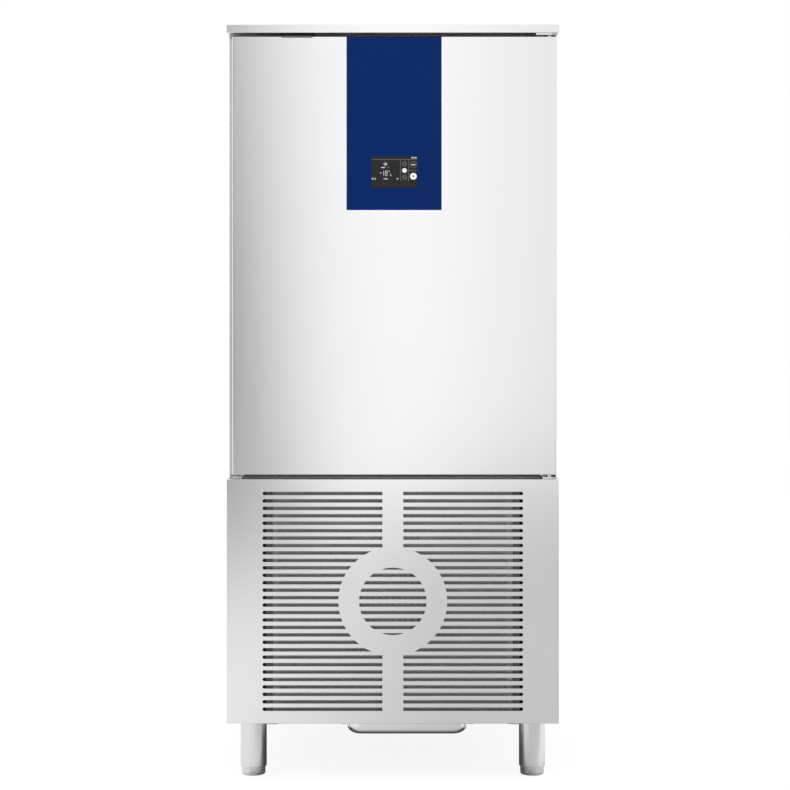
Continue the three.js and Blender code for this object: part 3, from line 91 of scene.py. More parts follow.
class Graph:
    """Short calls for the node tree of a world or a material."""

    def __init__(self, owner):
        owner.use_nodes = True
        self.tree = owner.node_tree
        self.tree.nodes.clear()

    def node(self, kind, inputs=None, **settings):
        """A new node, of a kind named without its prefix."""
        made = self.tree.nodes.new(f"ShaderNode{kind}")
        for key, value in settings.items():
            setattr(made, key, value)
        self.feed(made, inputs or {})
        return made

    def feed(self, node, inputs):
        """Gives inputs, by name or number, their number, their colour or another node's output."""
        for key, value in inputs.items():
            socket = node.inputs[key]
            if isinstance(value, (int, float)):
                socket.default_value = value
            elif isinstance(value, tuple):
                socket.default_value = (*value, 1.0) if socket.type == "RGBA" else value
            else:
                self.tree.links.new(value, socket)

    def coordinates(self, kind):
        return self.node("TexCoord").outputs[kind]

    def axes(self, kind):
        """x, y and z of one kind of texture coordinates."""
        return self.node("SeparateXYZ", {0: self.coordinates(kind)}).outputs

    def math(self, operation, first, second=0.0):
        return self.node("Math", {0: first, 1: second}, operation=operation).outputs[0]

    def spread(self, value, low, high, to_low, to_high, kind="SMOOTHSTEP"):
        """value from low..high mapped to to_low..to_high."""
        inputs = {0: value, 1: low, 2: high, 3: to_low, 4: to_high}
        return self.node("MapRange", inputs, interpolation_type=kind).outputs["Result"]

    def toward(self, value, target, factor):
        """value, moved towards target by factor."""
        kept = self.math("MULTIPLY", value, self.math("SUBTRACT", 1.0, factor))
        return self.math("ADD", kept, self.math("MULTIPLY", factor, target))

    def seen(self, level, to_camera):
        """The level, or another one to the camera itself."""
        return self.toward(level, to_camera, self.node("LightPath").outputs["Is Camera Ray"])

    def blend_color(self, factor, first, second):
        return self.node("Mix", {0: factor, 6: first, 7: second}, data_type="RGBA").outputs[2]


# The room as the steel sees it. A bearing is the angle beside the middle of the camera's side, left negative,
# in radians. Each row of four: from, to, level there, level there.
LEFT_CARD = (-0.122, -0.042, 0.0, 1.0)
LEFT_CARD_LEAN = 0.075  # the card leans out of the way with height
LEFT_END = (-0.7, -0.45, 1.0, 0.0)  # and ends here
RIGHT_FADE = (0.0, 0.11, 1.0, 0.74)
RISE = (-0.06, 0.22, 0.995, 1.0)  # by the height of the direction
CEILING = (0.3, 0.8, 0.0, 1.0)  # by the height of the direction, share of the ceiling
CEILING_LEVEL = 0.80
SIDE_LEVEL = 0.78  # beside the cabinet, on the left of the card
BEHIND = (-0.1, 0.5, 0.0, 1.0)
BEHIND_LEVEL = 0.76
ROOM_LEVEL = 1.155
FLOOR_SIZE = 60.0
FLOOR_DROP = 0.0005
FLOOR_ALBEDO = 0.16
FLOOR_CAMERA = 0.88  # added for the camera alone, so that the floor is as white as the background
FLOOR_LEAN = 3.0  # the far level starts nearer on the left
NEAR_FLOOR = (-0.6, 0.25, 0.88, 0.59)  # level of the floor in front of the cabinet, from left to right
BESIDE_X = (0.37, 0.55, 0.0, 1.0)  # the floor on the right of the cabinet is as pale as on its left
BESIDE_Y = (-0.6, -0.4, 0.0, 1.0)
BESIDE_LEVEL = 0.9
FAR_FLOOR = (2.2, 16.0, 0.0, 1.0)  # distance at which the floor takes the level of the room
FAR_FLOOR_LOWEST = 0.33  # the floor beside the card
UNDER_X = (0.29, 0.41, 0.0, 1.0)  # the floor under the cabinet stays dark
UNDER_Y = (0.33, 0.48, 0.0, 1.0)


def front_level(g, x, y, z):
    """Level of the room in the direction (x, y, z), for directions towards the camera's side."""
    bearing = g.math("ARCTAN2", x, g.math("MULTIPLY", y, -1.0))
    leaned = g.math("ADD", bearing, g.math("MULTIPLY", z, LEFT_CARD_LEAN))
    card = g.toward(g.spread(leaned, *LEFT_CARD), SIDE_LEVEL, g.spread(bearing, *LEFT_END))
    return g.math("MULTIPLY", card, g.spread(bearing, *RIGHT_FADE))


def make_world():
    """White to the camera. To everything else, a pale room with a dark card on the left of the camera."""
    world = bpy.data.worlds.new("studio")
    bpy.context.scene.world = world
    g = Graph(world)
    x, y, z = g.axes("Generated")
    level = g.math("MULTIPLY", front_level(g, x, y, z), g.spread(z, *RISE))
    level = g.toward(level, CEILING_LEVEL, g.spread(z, *CEILING))
    level = g.toward(level, BEHIND_LEVEL, g.spread(y, *BEHIND))
    level = g.math("MULTIPLY", level, ROOM_LEVEL)
    background = g.node("Background", {"Color": WHITE, "Strength": g.seen(level, 1.0)})
    g.node("OutputWorld", {0: background.outputs[0]})


def floor_level(g, x, y):
    """Glow of the floor at (x, y), which with the light it gets makes up the level that the steel mirrors."""
    beside = g.math("MULTIPLY", g.spread(x, *BESIDE_X), g.spread(y, *BESIDE_Y))
    near = g.toward(g.spread(x, *NEAR_FLOOR), BESIDE_LEVEL, beside)
    far = g.math("MULTIPLY", g.math("MAXIMUM", front_level(g, x, y, 0.0), FAR_FLOOR_LOWEST), ROOM_LEVEL)
    reach = g.math("ADD", y, g.math("MULTIPLY", x, FLOOR_LEAN))
    level = g.toward(near, far, g.spread(g.math("MULTIPLY", reach, -1.0), *FAR_FLOOR))
    level = g.math("MAXIMUM", g.math("SUBTRACT", level, FLOOR_ALBEDO), 0.0)
    aside = g.spread(g.math("ABSOLUTE", x), *UNDER_X)
    ahead = g.spread(g.math("ABSOLUTE", y), *UNDER_Y)
    return g.math("MULTIPLY", level, g.math("MAXIMUM", aside, ahead))


def make_floor():
    mesh = bpy.data.meshes.new("floor")
    half = FLOOR_SIZE / 2
    corners = [(-half, -half, 0), (half, -half, 0), (half, half, 0), (-half, half, 0)]
    mesh.from_pydata(corners, [], [(0, 1, 2, 3)])
    floor = into_scene("floor", mesh)
    floor.location = (0, 0, -FLOOR_DROP)
    material = bpy.data.materials.new("floor")
    g = Graph(material)
    x, y, _ = g.axes("Object")
    diffuse = g.node("BsdfDiffuse", {"Color": (FLOOR_ALBEDO, FLOOR_ALBEDO, FLOOR_ALBEDO)})
    strength = g.seen(floor_level(g, x, y), FLOOR_CAMERA)
    glow = g.node("Emission", {"Color": WHITE, "Strength": strength})
    both = g.node("AddShader", {0: diffuse.outputs[0], 1: glow.outputs[0]})
    g.node("OutputMaterial", {0: both.outputs[0]})
    mesh.materials.append(material)


def area_light(name, place, target, size, power):
    data = bpy.data.lights.new(name, "AREA")
    data.shape = "RECTANGLE"
    data.size, data.size_y = size
    data.energy = power
    lamp = into_scene(name, data)
    lamp.location = place
    lamp.rotation_euler = (Vector(target) - Vector(place)).to_track_quat("-Z", "Y").to_euler()
    lamp.visible_glossy = False


def make_lights():
    area_light("key", (-1.6, -3.4, 3.4), (0, 0, 0.9), (2.2, 2.2), 45)
    area_light("fill", (2.8, -2.6, 2.2), (0, 0, 0.8), (2.0, 2.6), 22)


# ---- materials
PATTERN = (0.25, 0.75)  # the part of a noise's range that it mostly keeps to
GRAIN_FINE = 900.0  # brushing lines, per metre across the grain
GRAIN_LONG = 9.0  # and along it


class Surface(Graph):
    """A principled material, with its patterns in object coordinates."""

    def __init__(self, name, roughness, metallic=0.0):
        self.material = bpy.data.materials.new(name)
        super().__init__(self.material)
        self.shader = self.node("BsdfPrincipled", {"Roughness": roughness, "Metallic": metallic})
        self.node("OutputMaterial", {0: self.shader.outputs[0]})

    def set(self, socket, value):
        self.feed(self.shader, {socket: value})

    def noise(self, scale, detail=2.0, stretch=(1, 1, 1), distortion=0.0):
        placed = self.node("Mapping", {"Vector": self.coordinates("Object"), "Scale": stretch})
        inputs = {"Vector": placed.outputs[0], "Scale": scale, "Detail": detail, "Distortion": distortion}
        return self.node("TexNoise", inputs).outputs["Fac"]

    def cells(self, scale, output="Distance"):
        inputs = {"Vector": self.coordinates("Object"), "Scale": scale}
        return self.node("TexVoronoi", inputs).outputs[output]

    def finish(self, tone, dark, pale, roughness, height, strength, distance, rough_tone=None):
        """Colour and roughness between two values each by a pattern, and a bump. Returns the material."""
        self.set("Base Color", self.blend_color(tone, dark, pale))
        self.set("Roughness", self.spread(rough_tone or tone, *PATTERN, *roughness, kind="LINEAR"))
        inputs = {"Strength": strength, "Distance": distance, "Height": height}
        self.set("Normal", self.node("Bump", inputs).outputs[0])
        return self.material


def shades(color, dark, pale):
    """A darker and a paler shade of a colour."""
    return [tuple(channel * factor for channel in color) for factor in (dark, pale)]


def brushed(name, color, roughness):
    """Satin stainless sheet: fine upright brushing lines, with faint cloudy handling marks."""
    surface = Surface(name, roughness, 1.0)
    lines = surface.noise(1.0, 3.0, (GRAIN_FINE, GRAIN_FINE, GRAIN_LONG))
    clouds = surface.noise(3.5, 3.0)
    tone = surface.math("ADD", surface.math("MULTIPLY", lines, 0.7), surface.math("MULTIPLY", clouds, 0.3))
    limits = (roughness * 0.88, roughness * 1.12)
    return surface.finish(tone, *shades(color, 0.97, 1.03), limits, lines, 0.12, 0.00002)


def galvanised(name, color):
    """Zinc coated sheet with its spangle."""
    surface = Surface(name, 0.42, 0.9)
    tone = surface.node("RGBToBW", {0: surface.cells(90.0, "Color")}).outputs[0]
    return surface.finish(tone, *shades(color, 0.86, 1.1), (0.34, 0.52), surface.noise(400.0), 0.05, 0.0001)


def moulded(name, color, specular=0.5):
    """Moulded plastic with a fine spark-eroded grain."""
    surface = Surface(name, 0.5)
    surface.set("Specular IOR Level", specular)
    tone, grain = surface.noise(6.0, 3.0), surface.noise(700.0)
    return surface.finish(tone, *shades(color, 0.88, 1.12), (0.45, 0.55), grain, 0.25, 0.0001)


def printed_film(name, color):
    """Film printed on its back: even colour under a smooth, faintly rippled face."""
    surface = Surface(name, 0.32)
    surface.set("Specular IOR Level", 0.03)
    print_grain, clouds, ripples = surface.noise(900.0), surface.noise(4.0), surface.noise(14.0)
    return surface.finish(print_grain, *shades(color, 0.97, 1.03), (0.3, 0.36), ripples, 0.04, 0.0004, clouds)


def display_glass(name, color):
    """Dark glass over a screen, etched against glare."""
    surface = Surface(name, 0.3)
    surface.set("Specular IOR Level", 0.1)
    tone, etching = surface.noise(30.0, 3.0), surface.noise(900.0)
    return surface.finish(tone, *shades(color, 0.96, 1.04), (0.27, 0.34), etching, 0.02, 0.00003)


def rubbery(name, color):
    """Rubber with a dull bloom."""
    surface = Surface(name, 0.68)
    surface.set("Sheen Weight", 0.08)
    tone, grain = surface.noise(12.0, 4.0), surface.noise(1200.0, 3.0)
    return surface.finish(tone, *shades(color, 0.85, 1.12), (0.6, 0.75), grain, 0.2, 0.0001)


def foam(name, color):
    """Cut rigid foam: closed cells, slightly uneven colour."""
    surface = Surface(name, 0.85)
    tone = surface.noise(9.0, 4.0)
    return surface.finish(tone, *shades(color, 0.86, 1.06), (0.8, 0.95), surface.cells(700.0), 0.5, 0.0006)


def soft_metal(name, color, roughness, tarnish=None):
    """Drawn metal: aluminium fins, copper tube. The tarnish is a second colour."""
    surface = Surface(name, roughness, 1.0)
    tone, grain = surface.noise(22.0, 5.0, distortion=0.4), surface.noise(500.0, 3.0)
    dark, pale = shades(color, 0.94, 1.06)
    limits = (roughness * 0.8, roughness * 1.25)
    return surface.finish(tone, dark, tarnish or pale, limits, grain, 0.08, 0.0001)


def enamelled(name, color):
    """Sprayed dark enamel with orange peel."""
    surface = Surface(name, 0.38)
    surface.set("Coat Weight", 0.3)
    surface.set("Coat Roughness", 0.25)
    tone, peel = surface.noise(8.0, 4.0), surface.noise(260.0)
    return surface.finish(tone, *shades(color, 0.8, 1.25), (0.32, 0.46), peel, 0.12, 0.0003)


def glowing(name, level):
    """A lit mark on the display: nearly white light with a faint unevenness."""
    surface = Surface(name, 0.6)
    surface.set("Specular IOR Level", 0.1)
    tone = surface.noise(700.0)
    surface.set("Base Color", surface.blend_color(tone, (0.02, 0.02, 0.02), (0.03, 0.03, 0.03)))
    light = shades((level, level, level * 1.01), 0.92, 1.0)
    surface.set("Emission Color", surface.blend_color(tone, *light))
    surface.set("Emission Strength", 1.0)
    return surface.material


FINISHES = {  # look: the function above that makes it, and what that takes
    "stainless_outer": (brushed, (0.90, 0.90, 0.905), 0.155),
    "stainless_inner": (brushed, (0.80, 0.81, 0.815), 0.3),
    "stainless_fitting": (brushed, (0.84, 0.84, 0.845), 0.22),
    "galvanised_steel": (galvanised, (0.62, 0.64, 0.65)),
    "foam": (foam, (0.86, 0.80, 0.62)),
    "grey_plastic": (moulded, (0.12, 0.123, 0.126)),
    "frame_plastic": (moulded, (0.50, 0.505, 0.51)),
    "black_plastic": (moulded, (0.012, 0.012, 0.013), 0.2),
    "blue_fascia": (printed_film, (0.0041, 0.0226, 0.128)),
    "display_glass": (display_glass, (0.024, 0.024, 0.0245)),
    "rubber": (rubbery, (0.12, 0.125, 0.13)),
    "aluminium_fins": (soft_metal, (0.78, 0.79, 0.80), 0.35),
    "filter_mesh": (soft_metal, (0.52, 0.53, 0.54), 0.45),
    "filter_border": (soft_metal, (0.15, 0.15, 0.155), 0.5),
    "copper": (soft_metal, (0.80, 0.42, 0.28), 0.28, (0.55, 0.26, 0.16)),
    "dark_metal": (enamelled, (0.022, 0.024, 0.028)),
    "display_buttons": (glowing, 0.92),
    "display_lit": (glowing, 0.66),
    "display_dim": (glowing, 0.15),
    "display_lines": (glowing, 0.16),
}
MATERIALS = {name: finish(name, *sizes) for name, (finish, *sizes) in FINISHES.items()}
LOOKS = {  # where it isn't the slot's own
    "door_switch": "black_plastic",
    "drip_tray": "stainless_outer",
    "thermal_break_frame": "frame_plastic",
}


def paint_nodes():
    for node, slot in NODE_SLOT.items():
        mesh = NODES[node].data
        mesh.materials.clear()
        mesh.materials.append(MATERIALS[slot])


# ---- mesh helpers, with places in mm
NODE_SLOT = {row["node"]: row["material_slot"] for row in frame["record"]["subparts"]}
NODE_BODY = {name: body for body, names in frame["record"]["behaviour"]["bodies"].items() for name in names}
SMOOTH_ANGLE = math.radians(32)
FLAT_ANGLE = math.radians(0.4)
TOUCHING = 0.001 * MM


def place(name, bm, slot, body, *replaced, look=None):
    """Makes a mesh into a piece that rides on a body and stands for the replaced nodes."""
    bmesh.ops.recalc_face_normals(bm, faces=bm.faces)
    mesh = bpy.data.meshes.new(name)
    bm.to_mesh(mesh)
    bm.free()
    piece = into_scene(name, mesh)
    mesh.materials.append(MATERIALS[look or slot])
    for polygon in mesh.polygons:
        polygon.use_smooth = True
    mesh.set_sharp_from_angle(angle=SMOOTH_ANGLE)
    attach(piece, body)
    if replaced:
        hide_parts(*replaced)
    return piece


def standing_for(node, bm, name):
    """A piece that takes the slot and the body of the node it stands for."""
    return place(name, bm, NODE_SLOT[node], NODE_BODY[node], node, look=LOOKS.get(node))


def formed(node, bm):
    """The finished form of a node."""
    return standing_for(node, bm, f"{node}_formed")


def even_shading(piece):
    """Normals weighted by face area, so that small roundings don't tilt the faces beside them."""
    piece.modifiers.new("shading", "WEIGHTED_NORMAL").keep_sharp = True


def round_edges(piece, width, angle=30):
    """Small rounded edges, with shading that keeps the faces flat."""
    bevel = piece.modifiers.new("edges", "BEVEL")
    bevel.width = width * MM
    bevel.segments = 2
    bevel.limit_method = "ANGLE"
    bevel.angle_limit = math.radians(angle)
    bevel.use_clamp_overlap = True
    bevel.miter_outer = "MITER_ARC"
    even_shading(piece)


def own_form(node):
    """The node's own mesh with its flat faces in one piece each."""
    bm = bmesh.new()
    bm.from_mesh(NODES[node].data)
    bmesh.ops.remove_doubles(bm, verts=bm.verts, dist=TOUCHING)
    bmesh.ops.dissolve_limit(bm, angle_limit=FLAT_ANGLE, verts=bm.verts, edges=bm.edges)
    return bm


def span(node):
    """Lowest and highest corner of a node."""
    return [[value / MM for value in corner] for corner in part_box(node)]


def round_span(node):
    """Middle x and y, radius, lowest and highest place of a round upright node."""
    (x0, y0, z0), (x1, y1, z1) = span(node)
    return (x0 + x1) / 2, (y0 + y1) / 2, (x1 - x0) / 2, z0, z1


def strands(low, high, pitch):
    """Places of evenly spaced strands between two borders."""
    count = int((high - low) / pitch)
    start = (low + high - (count - 1) * pitch) / 2
    return [start + i * pitch for i in range(count)]


def vertex(bm, x, y, z):
    return bm.verts.new((x * MM, y * MM, z * MM))


def upright_loop(bm, outline, y):
    """Vertices at (x, z) points in the upright plane at y."""
    return [vertex(bm, x, y, z) for x, z in outline]


def level_loop(bm, outline, middle_x, z):
    """Vertices at (x, y) points in the level plane at z, with x from middle_x."""
    return [vertex(bm, middle_x + x, y, z) for x, y in outline]


def block(bm, low, high):
    """A box between two corners."""
    x, y, z = zip(low, high)
    corners = [vertex(bm, *corner) for corner in itertools.product(x, y, z)]
    for side in ((0, 1, 3, 2), (4, 6, 7, 5), (0, 4, 5, 1), (2, 3, 7, 6), (0, 2, 6, 4), (1, 5, 7, 3)):
        bm.faces.new([corners[i] for i in side])


def bridge(bm, loops):
    """Quads between closed loops of vertices that follow each other."""
    for first, second in zip(loops, loops[1:]):
        for i in range(len(first)):
            bm.faces.new((first[i - 1], first[i], second[i], second[i - 1]))


def closed(bm, loops):
    """A skin over closed loops of vertices, with a face at each end."""
    bridge(bm, loops)
    bm.faces.new(loops[0])
    bm.faces.new(loops[-1])


def plate(bm, outline, y0, y1):
    """A flat plate that faces -Y, with an outline of (x, z) points."""
    closed(bm, [upright_loop(bm, outline, y) for y in (y0, y1)])


def two_skins(bm, grids):
    """Faces over two grids of vertices, and between their edges."""
    edges = []
    for grid in grids:
        for first, second in zip(grid, grid[1:]):
            for i in range(len(first) - 1):
                bm.faces.new((first[i], first[i + 1], second[i + 1], second[i]))
        edge = grid[0] + [line[-1] for line in grid[1:]] + grid[-1][-2::-1]
        edges.append(edge + [line[0] for line in grid[-2:0:-1]])
    bridge(bm, edges)


def arc(cx, cy, radius, start, end, steps, radius_y=None):
    """Points along an arc, angles in degrees. A second radius makes it part of an ellipse."""
    angles = [math.radians(start + (end - start) * i / steps) for i in range(steps + 1)]
    return [(cx + radius * math.cos(a), cy + (radius_y or radius) * math.sin(a)) for a in angles]


def circle(x, z, radius, sides):
    return arc(x, z, radius, 0, 360, sides)[:-1]


def hoop(bm, x, z, inner, outer, y0, y1):
    """A flat ring that faces -Y."""
    section = ((inner, y0), (outer, y0), (outer, y1), (inner, y1))
    loops = [upright_loop(bm, circle(x, z, radius, 40), y) for radius, y in section]
    bridge(bm, loops + [loops[0]])


def turned(bm, profile, across, level, sides=64, axis="z"):
    """A profile of (radius, place along the axis) points turned about an axis. Radius 0 closes an end.

    The axis is upright and stands at x, y, or lies along Y at x, z.
    """
    rings = []
    for radius, along in profile:
        points = circle(across, level, radius, sides if radius else 1)
        ring = level_loop(bm, points, 0, along) if axis == "z" else upright_loop(bm, points, along)
        rings.append(ring if radius else ring * sides)
    for first, second in zip(rings, rings[1:]):
        for i in range(sides):
            corners = (first[i - 1], first[i], second[i], second[i - 1])
            bm.faces.new(list(dict.fromkeys(corners)))
    if profile[0] == profile[-1]:
        bmesh.ops.remove_doubles(bm, verts=rings[0] + rings[-1], dist=TOUCHING)


def turned_form(node, profile, x, y, sides=64, name=None):
    """The finished form of a node that is turned about an upright axis."""
    bm = bmesh.new()
    turned(bm, profile, x, y, sides)
    even_shading(standing_for(node, bm, name or f"{node}_formed"))


# ---- sizes, in mm
FRONT = CAD_BOX[0][1] / MM
SIDE = CAD_BOX[1][0] / MM
SHEET = 1.5
(_, _, PANEL_Z0), (_, PANEL_BACK, PANEL_Z1) = span("front_grille_panel")
PANEL_FOLD = 22
ROWS = 30
ROW_PITCH = 17.68
TOP_ROW_Z = 686.0
SLOT_HEIGHT = 8.1
SLOT_STEPS = 10
LOUVRE_SHEET = 1.0
FIELD_X = 309.6
BAR_X = 25.0
RING_OUTER = 129.5
RING_INNER = 80.0
RING_Z = TOP_ROW_Z - (ROWS - 1) * ROW_PITCH / 2
SOFTENED = (
    "top_lid", "door_outer_skin", "door_grip_profile", "outer_casing", "side_panel_left", "side_panel_right",
    "inner_liner", "door_inner_liner", "thermal_break_frame", "tray_rack_left", "tray_rack_right",
    "hinge_bracket_upper", "hinge_bracket_lower", "spare_hinge_bracket", "door_switch", "base_frame",
    "tray_runner_left", "tray_runner_right", "electrical_box", "condenser_fan_shroud", "core_probe_gland",
    "filter_drier",
)


# ---- louvred front panel
def chord(radius, dz):
    """Half the width of a circle at height dz above its centre."""
    return math.sqrt(radius * radius - dz * dz) if abs(dz) < radius else 0.0


def steps(start, end):
    """Places from one to the other along the end of a slot."""
    return [start + (end - start) * i / SLOT_STEPS for i in range(SLOT_STEPS + 1)]


def side_slot(z, sign):
    """One slot beside the ring and the bar: a round outer end, and an inner end that follows the ring."""
    half = SLOT_HEIGHT / 2
    inner = [(max(BAR_X, chord(RING_OUTER, level - RING_Z)), level) for level in steps(z + half, z - half)]
    return [(sign * x, level) for x, level in arc(FIELD_X - half, z, half, -90, 90, SLOT_STEPS) + inner]


def eye_slot(z):
    """One slot inside the ring, its ends cut by the circle. Empty where next to nothing of it is left."""
    low = max(z - SLOT_HEIGHT / 2, RING_Z - RING_INNER)
    high = min(z + SLOT_HEIGHT / 2, RING_Z + RING_INNER)
    if high - low < 1.0:
        return []
    right = [(chord(RING_INNER, level - RING_Z), level) for level in steps(low, high)]
    left = [(-x, level) for x, level in reversed(right)]
    return [point for point in right + left if point[0] or point == right[0] or point == right[-1]]


def without_repeats(points):
    kept = []
    for point in points:
        if not kept or math.dist(point, kept[-1]) > 0.02:
            kept.append(point)
    while math.dist(kept[0], kept[-1]) < 0.02:
        kept.pop()
    return kept


def grown(points, amount):
    """A closed outline moved outwards."""
    area = sum(points[i - 1][0] * z - x * points[i - 1][1] for i, (x, z) in enumerate(points))
    way = amount if area > 0 else -amount
    moved = []
    for i, (x, z) in enumerate(points):
        before, after = points[i - 1], points[(i + 1) % len(points)]
        into = Vector((x - before[0], z - before[1])).normalized()
        out = Vector((after[0] - x, after[1] - z)).normalized()
        normal = Vector((into.y + out.y, -into.x - out.x)).normalized()
        reach = min(1 / max(normal.dot(Vector((into.y, -into.x))), 0.4), 2.5)
        moved.append((x + normal.x * way * reach, z + normal.y * way * reach))
    return moved


def known_loop(bm, known, outline, y):
    """Vertices at (x, z) points, each place made once and then shared."""
    for x, z in outline:
        key = (round(x, 3), round(y, 3), round(z, 3))
        if key not in known:
            known[key] = vertex(bm, x, y, z)
        yield known[key]


def perforated_sheet(bm, rim, holes, y_front, y_back, known=None, edge=0.25):
    """A flat sheet facing -Y with chamfered holes through it. Returns the front and back rim vertices."""
    known = {} if known is None else known
    holes = [without_repeats(hole) for hole in holes]
    rings = [grown(hole, edge) for hole in holes]
    loops = [[Vector((x, z, 0.0)) for x, z in loop] for loop in (rim, *rings)]
    triangles = geometry.tessellate_polygon(loops)
    faces = []
    for y in (y_front, y_back):
        corners = list(known_loop(bm, known, rim, y))
        for ring in rings:
            corners += upright_loop(bm, ring, y)
        for triangle in triangles:
            bm.faces.new([corners[i] for i in triangle])
        faces.append(corners)
    start = len(rim)
    for hole in holes:
        front, back = [face[start:start + len(hole)] for face in faces]
        walls = [upright_loop(bm, hole, y) for y in (y_front + edge, y_back - edge)]
        bridge(bm, [front, *walls, back])
        start += len(hole)
    return [face[:len(rim)] for face in faces]


def folded_edge(y, depth):
    """A sheet's rounded fold and the flange behind it, from the face at y, as (outward, y) places."""
    return arc(-SHEET, y + SHEET, SHEET, -67.5, 0, 3) + [(0.0, y + depth), (-SHEET, y + depth)]


def make_louvred_panel():
    """The slotted sheet, made in level strips of one row each, with its edges folded back."""
    bm = bmesh.new()
    known = {}
    faces = (FRONT, FRONT + LOUVRE_SHEET)
    between = [TOP_ROW_Z - (row + 0.5) * ROW_PITCH for row in reversed(range(ROWS - 1))]

    def rim(outward):
        right = [(SIDE + outward, z) for z in (PANEL_Z0 - outward, *between, PANEL_Z1 + outward)]
        return right + [(-x, z) for x, z in reversed(right)]

    half = SIDE - SHEET
    levels = [PANEL_Z0 + SHEET, *between, PANEL_Z1 - SHEET]
    for row, (low, high) in enumerate(zip(levels, levels[1:])):
        z = TOP_ROW_Z - (ROWS - 1 - row) * ROW_PITCH
        slots = [slot for slot in (side_slot(z, 1), side_slot(z, -1), eye_slot(z)) if slot]
        perforated_sheet(bm, [(-half, low), (half, low), (half, high), (-half, high)], slots, *faces, known)
    front, back = [list(known_loop(bm, known, rim(-SHEET), y)) for y in faces]
    bridge(bm, [front, *(upright_loop(bm, rim(out), y) for out, y in folded_edge(FRONT, PANEL_FOLD)), back])
    block(bm, (-SIDE + 2 * SHEET, FRONT + PANEL_FOLD - SHEET, PANEL_Z1 - SHEET),
          (SIDE - 2 * SHEET, PANEL_BACK, PANEL_Z1))
    even_shading(standing_for("front_grille_panel", bm, "louvred_panel"))


# ---- air filter and coils
FILTER_BORDER = 16
WIRE_PITCH = 4.0
WIRE = 1.3
WIRE_END = 2  # how far the wires run into the border
FIN_PITCH = 3.2
FIN = 0.5
TUBE_RADIUS = 4.8
TUBE_RUNS = 8
TUBE_REACH = 18  # of the returns, outside the end plates
END_FLANGE = 23
END_SHEET = 3
CONDENSER_FINS = (201, 640)  # lowest and highest place of the fins
EVAPORATOR_FINS = (821, 1680)


def rim_of(low, high, outward):
    """The (x, z) outline of a box, moved outwards."""
    x0, z0, x1, z1 = low[0] - outward, low[2] - outward, high[0] + outward, high[2] + outward
    return [(x0, z0), (x1, z0), (x1, z1), (x0, z1)]


def make_filter():
    """A framed panel of wire mesh: upright wires in front, level wires behind them."""
    low, high = span("condenser_filter")
    y0, y1, border = low[1], high[1], FILTER_BORDER
    section = ((0, y0 + 1), (0.3, y0 + 0.3), (1, y0), (border - 1, y0), (border, y0 + 1), (border, y1),
               (0, y1))
    bm = bmesh.new()
    loops = [upright_loop(bm, rim_of(low, high, -inset), y) for inset, y in section]
    bridge(bm, loops + [loops[0]])
    even_shading(place("filter_border", bm, "filter_mesh", "cabinet", look="filter_border"))
    inner_x, z0, z1 = high[0] - border, low[2] + border, high[2] - border
    middle = (y0 + y1) / 2
    half = WIRE / 2
    bm = bmesh.new()
    for x in strands(-inner_x, inner_x, WIRE_PITCH):
        block(bm, (x - half, middle - WIRE, z0 - WIRE_END), (x + half, middle, z1 + WIRE_END))
    for z in strands(z0, z1, WIRE_PITCH):
        block(bm, (-inner_x - WIRE_END, middle, z - half), (inner_x + WIRE_END, middle + WIRE, z + half))
    standing_for("condenser_filter", bm, "filter_wire_mesh")


def tube_along(bm, points, radius, sides=12):
    """A round tube through places, closed at both ends."""
    path = [Vector(point) for point in points]
    rings = []
    normal = (path[1] - path[0]).orthogonal()
    for behind, point, ahead in zip(path[:1] + path, path, path[1:] + path[-1:]):
        along = (ahead - behind).normalized()
        normal = (normal - along * normal.dot(along)).normalized()
        across = along.cross(normal)
        section = [normal * u + across * v for u, v in circle(0, 0, radius, sides)]
        rings.append([vertex(bm, *(point + offset)) for offset in section])
    closed(bm, rings)


def serpentine(end_x, y, z0, z1):
    """Places along a level tube that runs to and fro, with round returns outside the fins."""
    pitch = (z1 - z0) / TUBE_RUNS
    points = []
    for run in range(TUBE_RUNS):
        z = z0 + (run + 0.5) * pitch
        x = end_x if run % 2 == 0 else -end_x
        points += [(-x, y, z), (x, y, z)]
        if run < TUBE_RUNS - 1:
            reach = math.copysign(TUBE_REACH, x)
            points += [(px, y, pz) for px, pz in arc(x, z + pitch / 2, reach, -90, 90, 8, pitch / 2)[1:-1]]
    return points


def make_coil(node, flange, fins, tube_rows):
    """Thin upright fins between two end plates, with tubes running to and fro through them."""
    (x0, y0, z0), (_, y1, z1) = span(node)
    end_x = -x0 - flange
    inner_x = end_x - END_SHEET
    bm = bmesh.new()
    for x in strands(-inner_x, inner_x, FIN_PITCH):
        block(bm, (x - FIN / 2, y0 + 0.5, fins[0]), (x + FIN / 2, y1 - 0.5, fins[1]))
    for side in (-1, 1):
        block(bm, (side * inner_x, y0, z0), (side * end_x, y1, z1))
        if flange:
            block(bm, (side * end_x, y0, z0), (side * (end_x + flange), y0 + END_SHEET, z1))
    for row in range(tube_rows):
        y = y0 + (y1 - y0) * (row + 0.5) / tube_rows
        tube_along(bm, serpentine(end_x + 2, y, *fins), TUBE_RADIUS)
    standing_for(node, bm, f"{node}_finned")


# ---- legs, feet and drip tray
LEG_WALL = 1.5
LEG_LIP = 1.4
FOOT_EDGE = 5.0
FOOT_GROOVES = (9.0, 17.0)
FOOT_NECK_TOP = 38.0
STEM_RADIUS = 8.0
STEM_PITCH = 1.75
TRAY_EDGE = 27.0  # lower edges, sideways
TRAY_EDGE_RISE = 21.0  # and upwards
TRAY_FLOOR_RISE = 3.0
TRAY_CORNER = 8.0
TRAY_WALL = 1.5
TRAY_RIM = 12.0
TRAY_RIM_INSET = 32.0


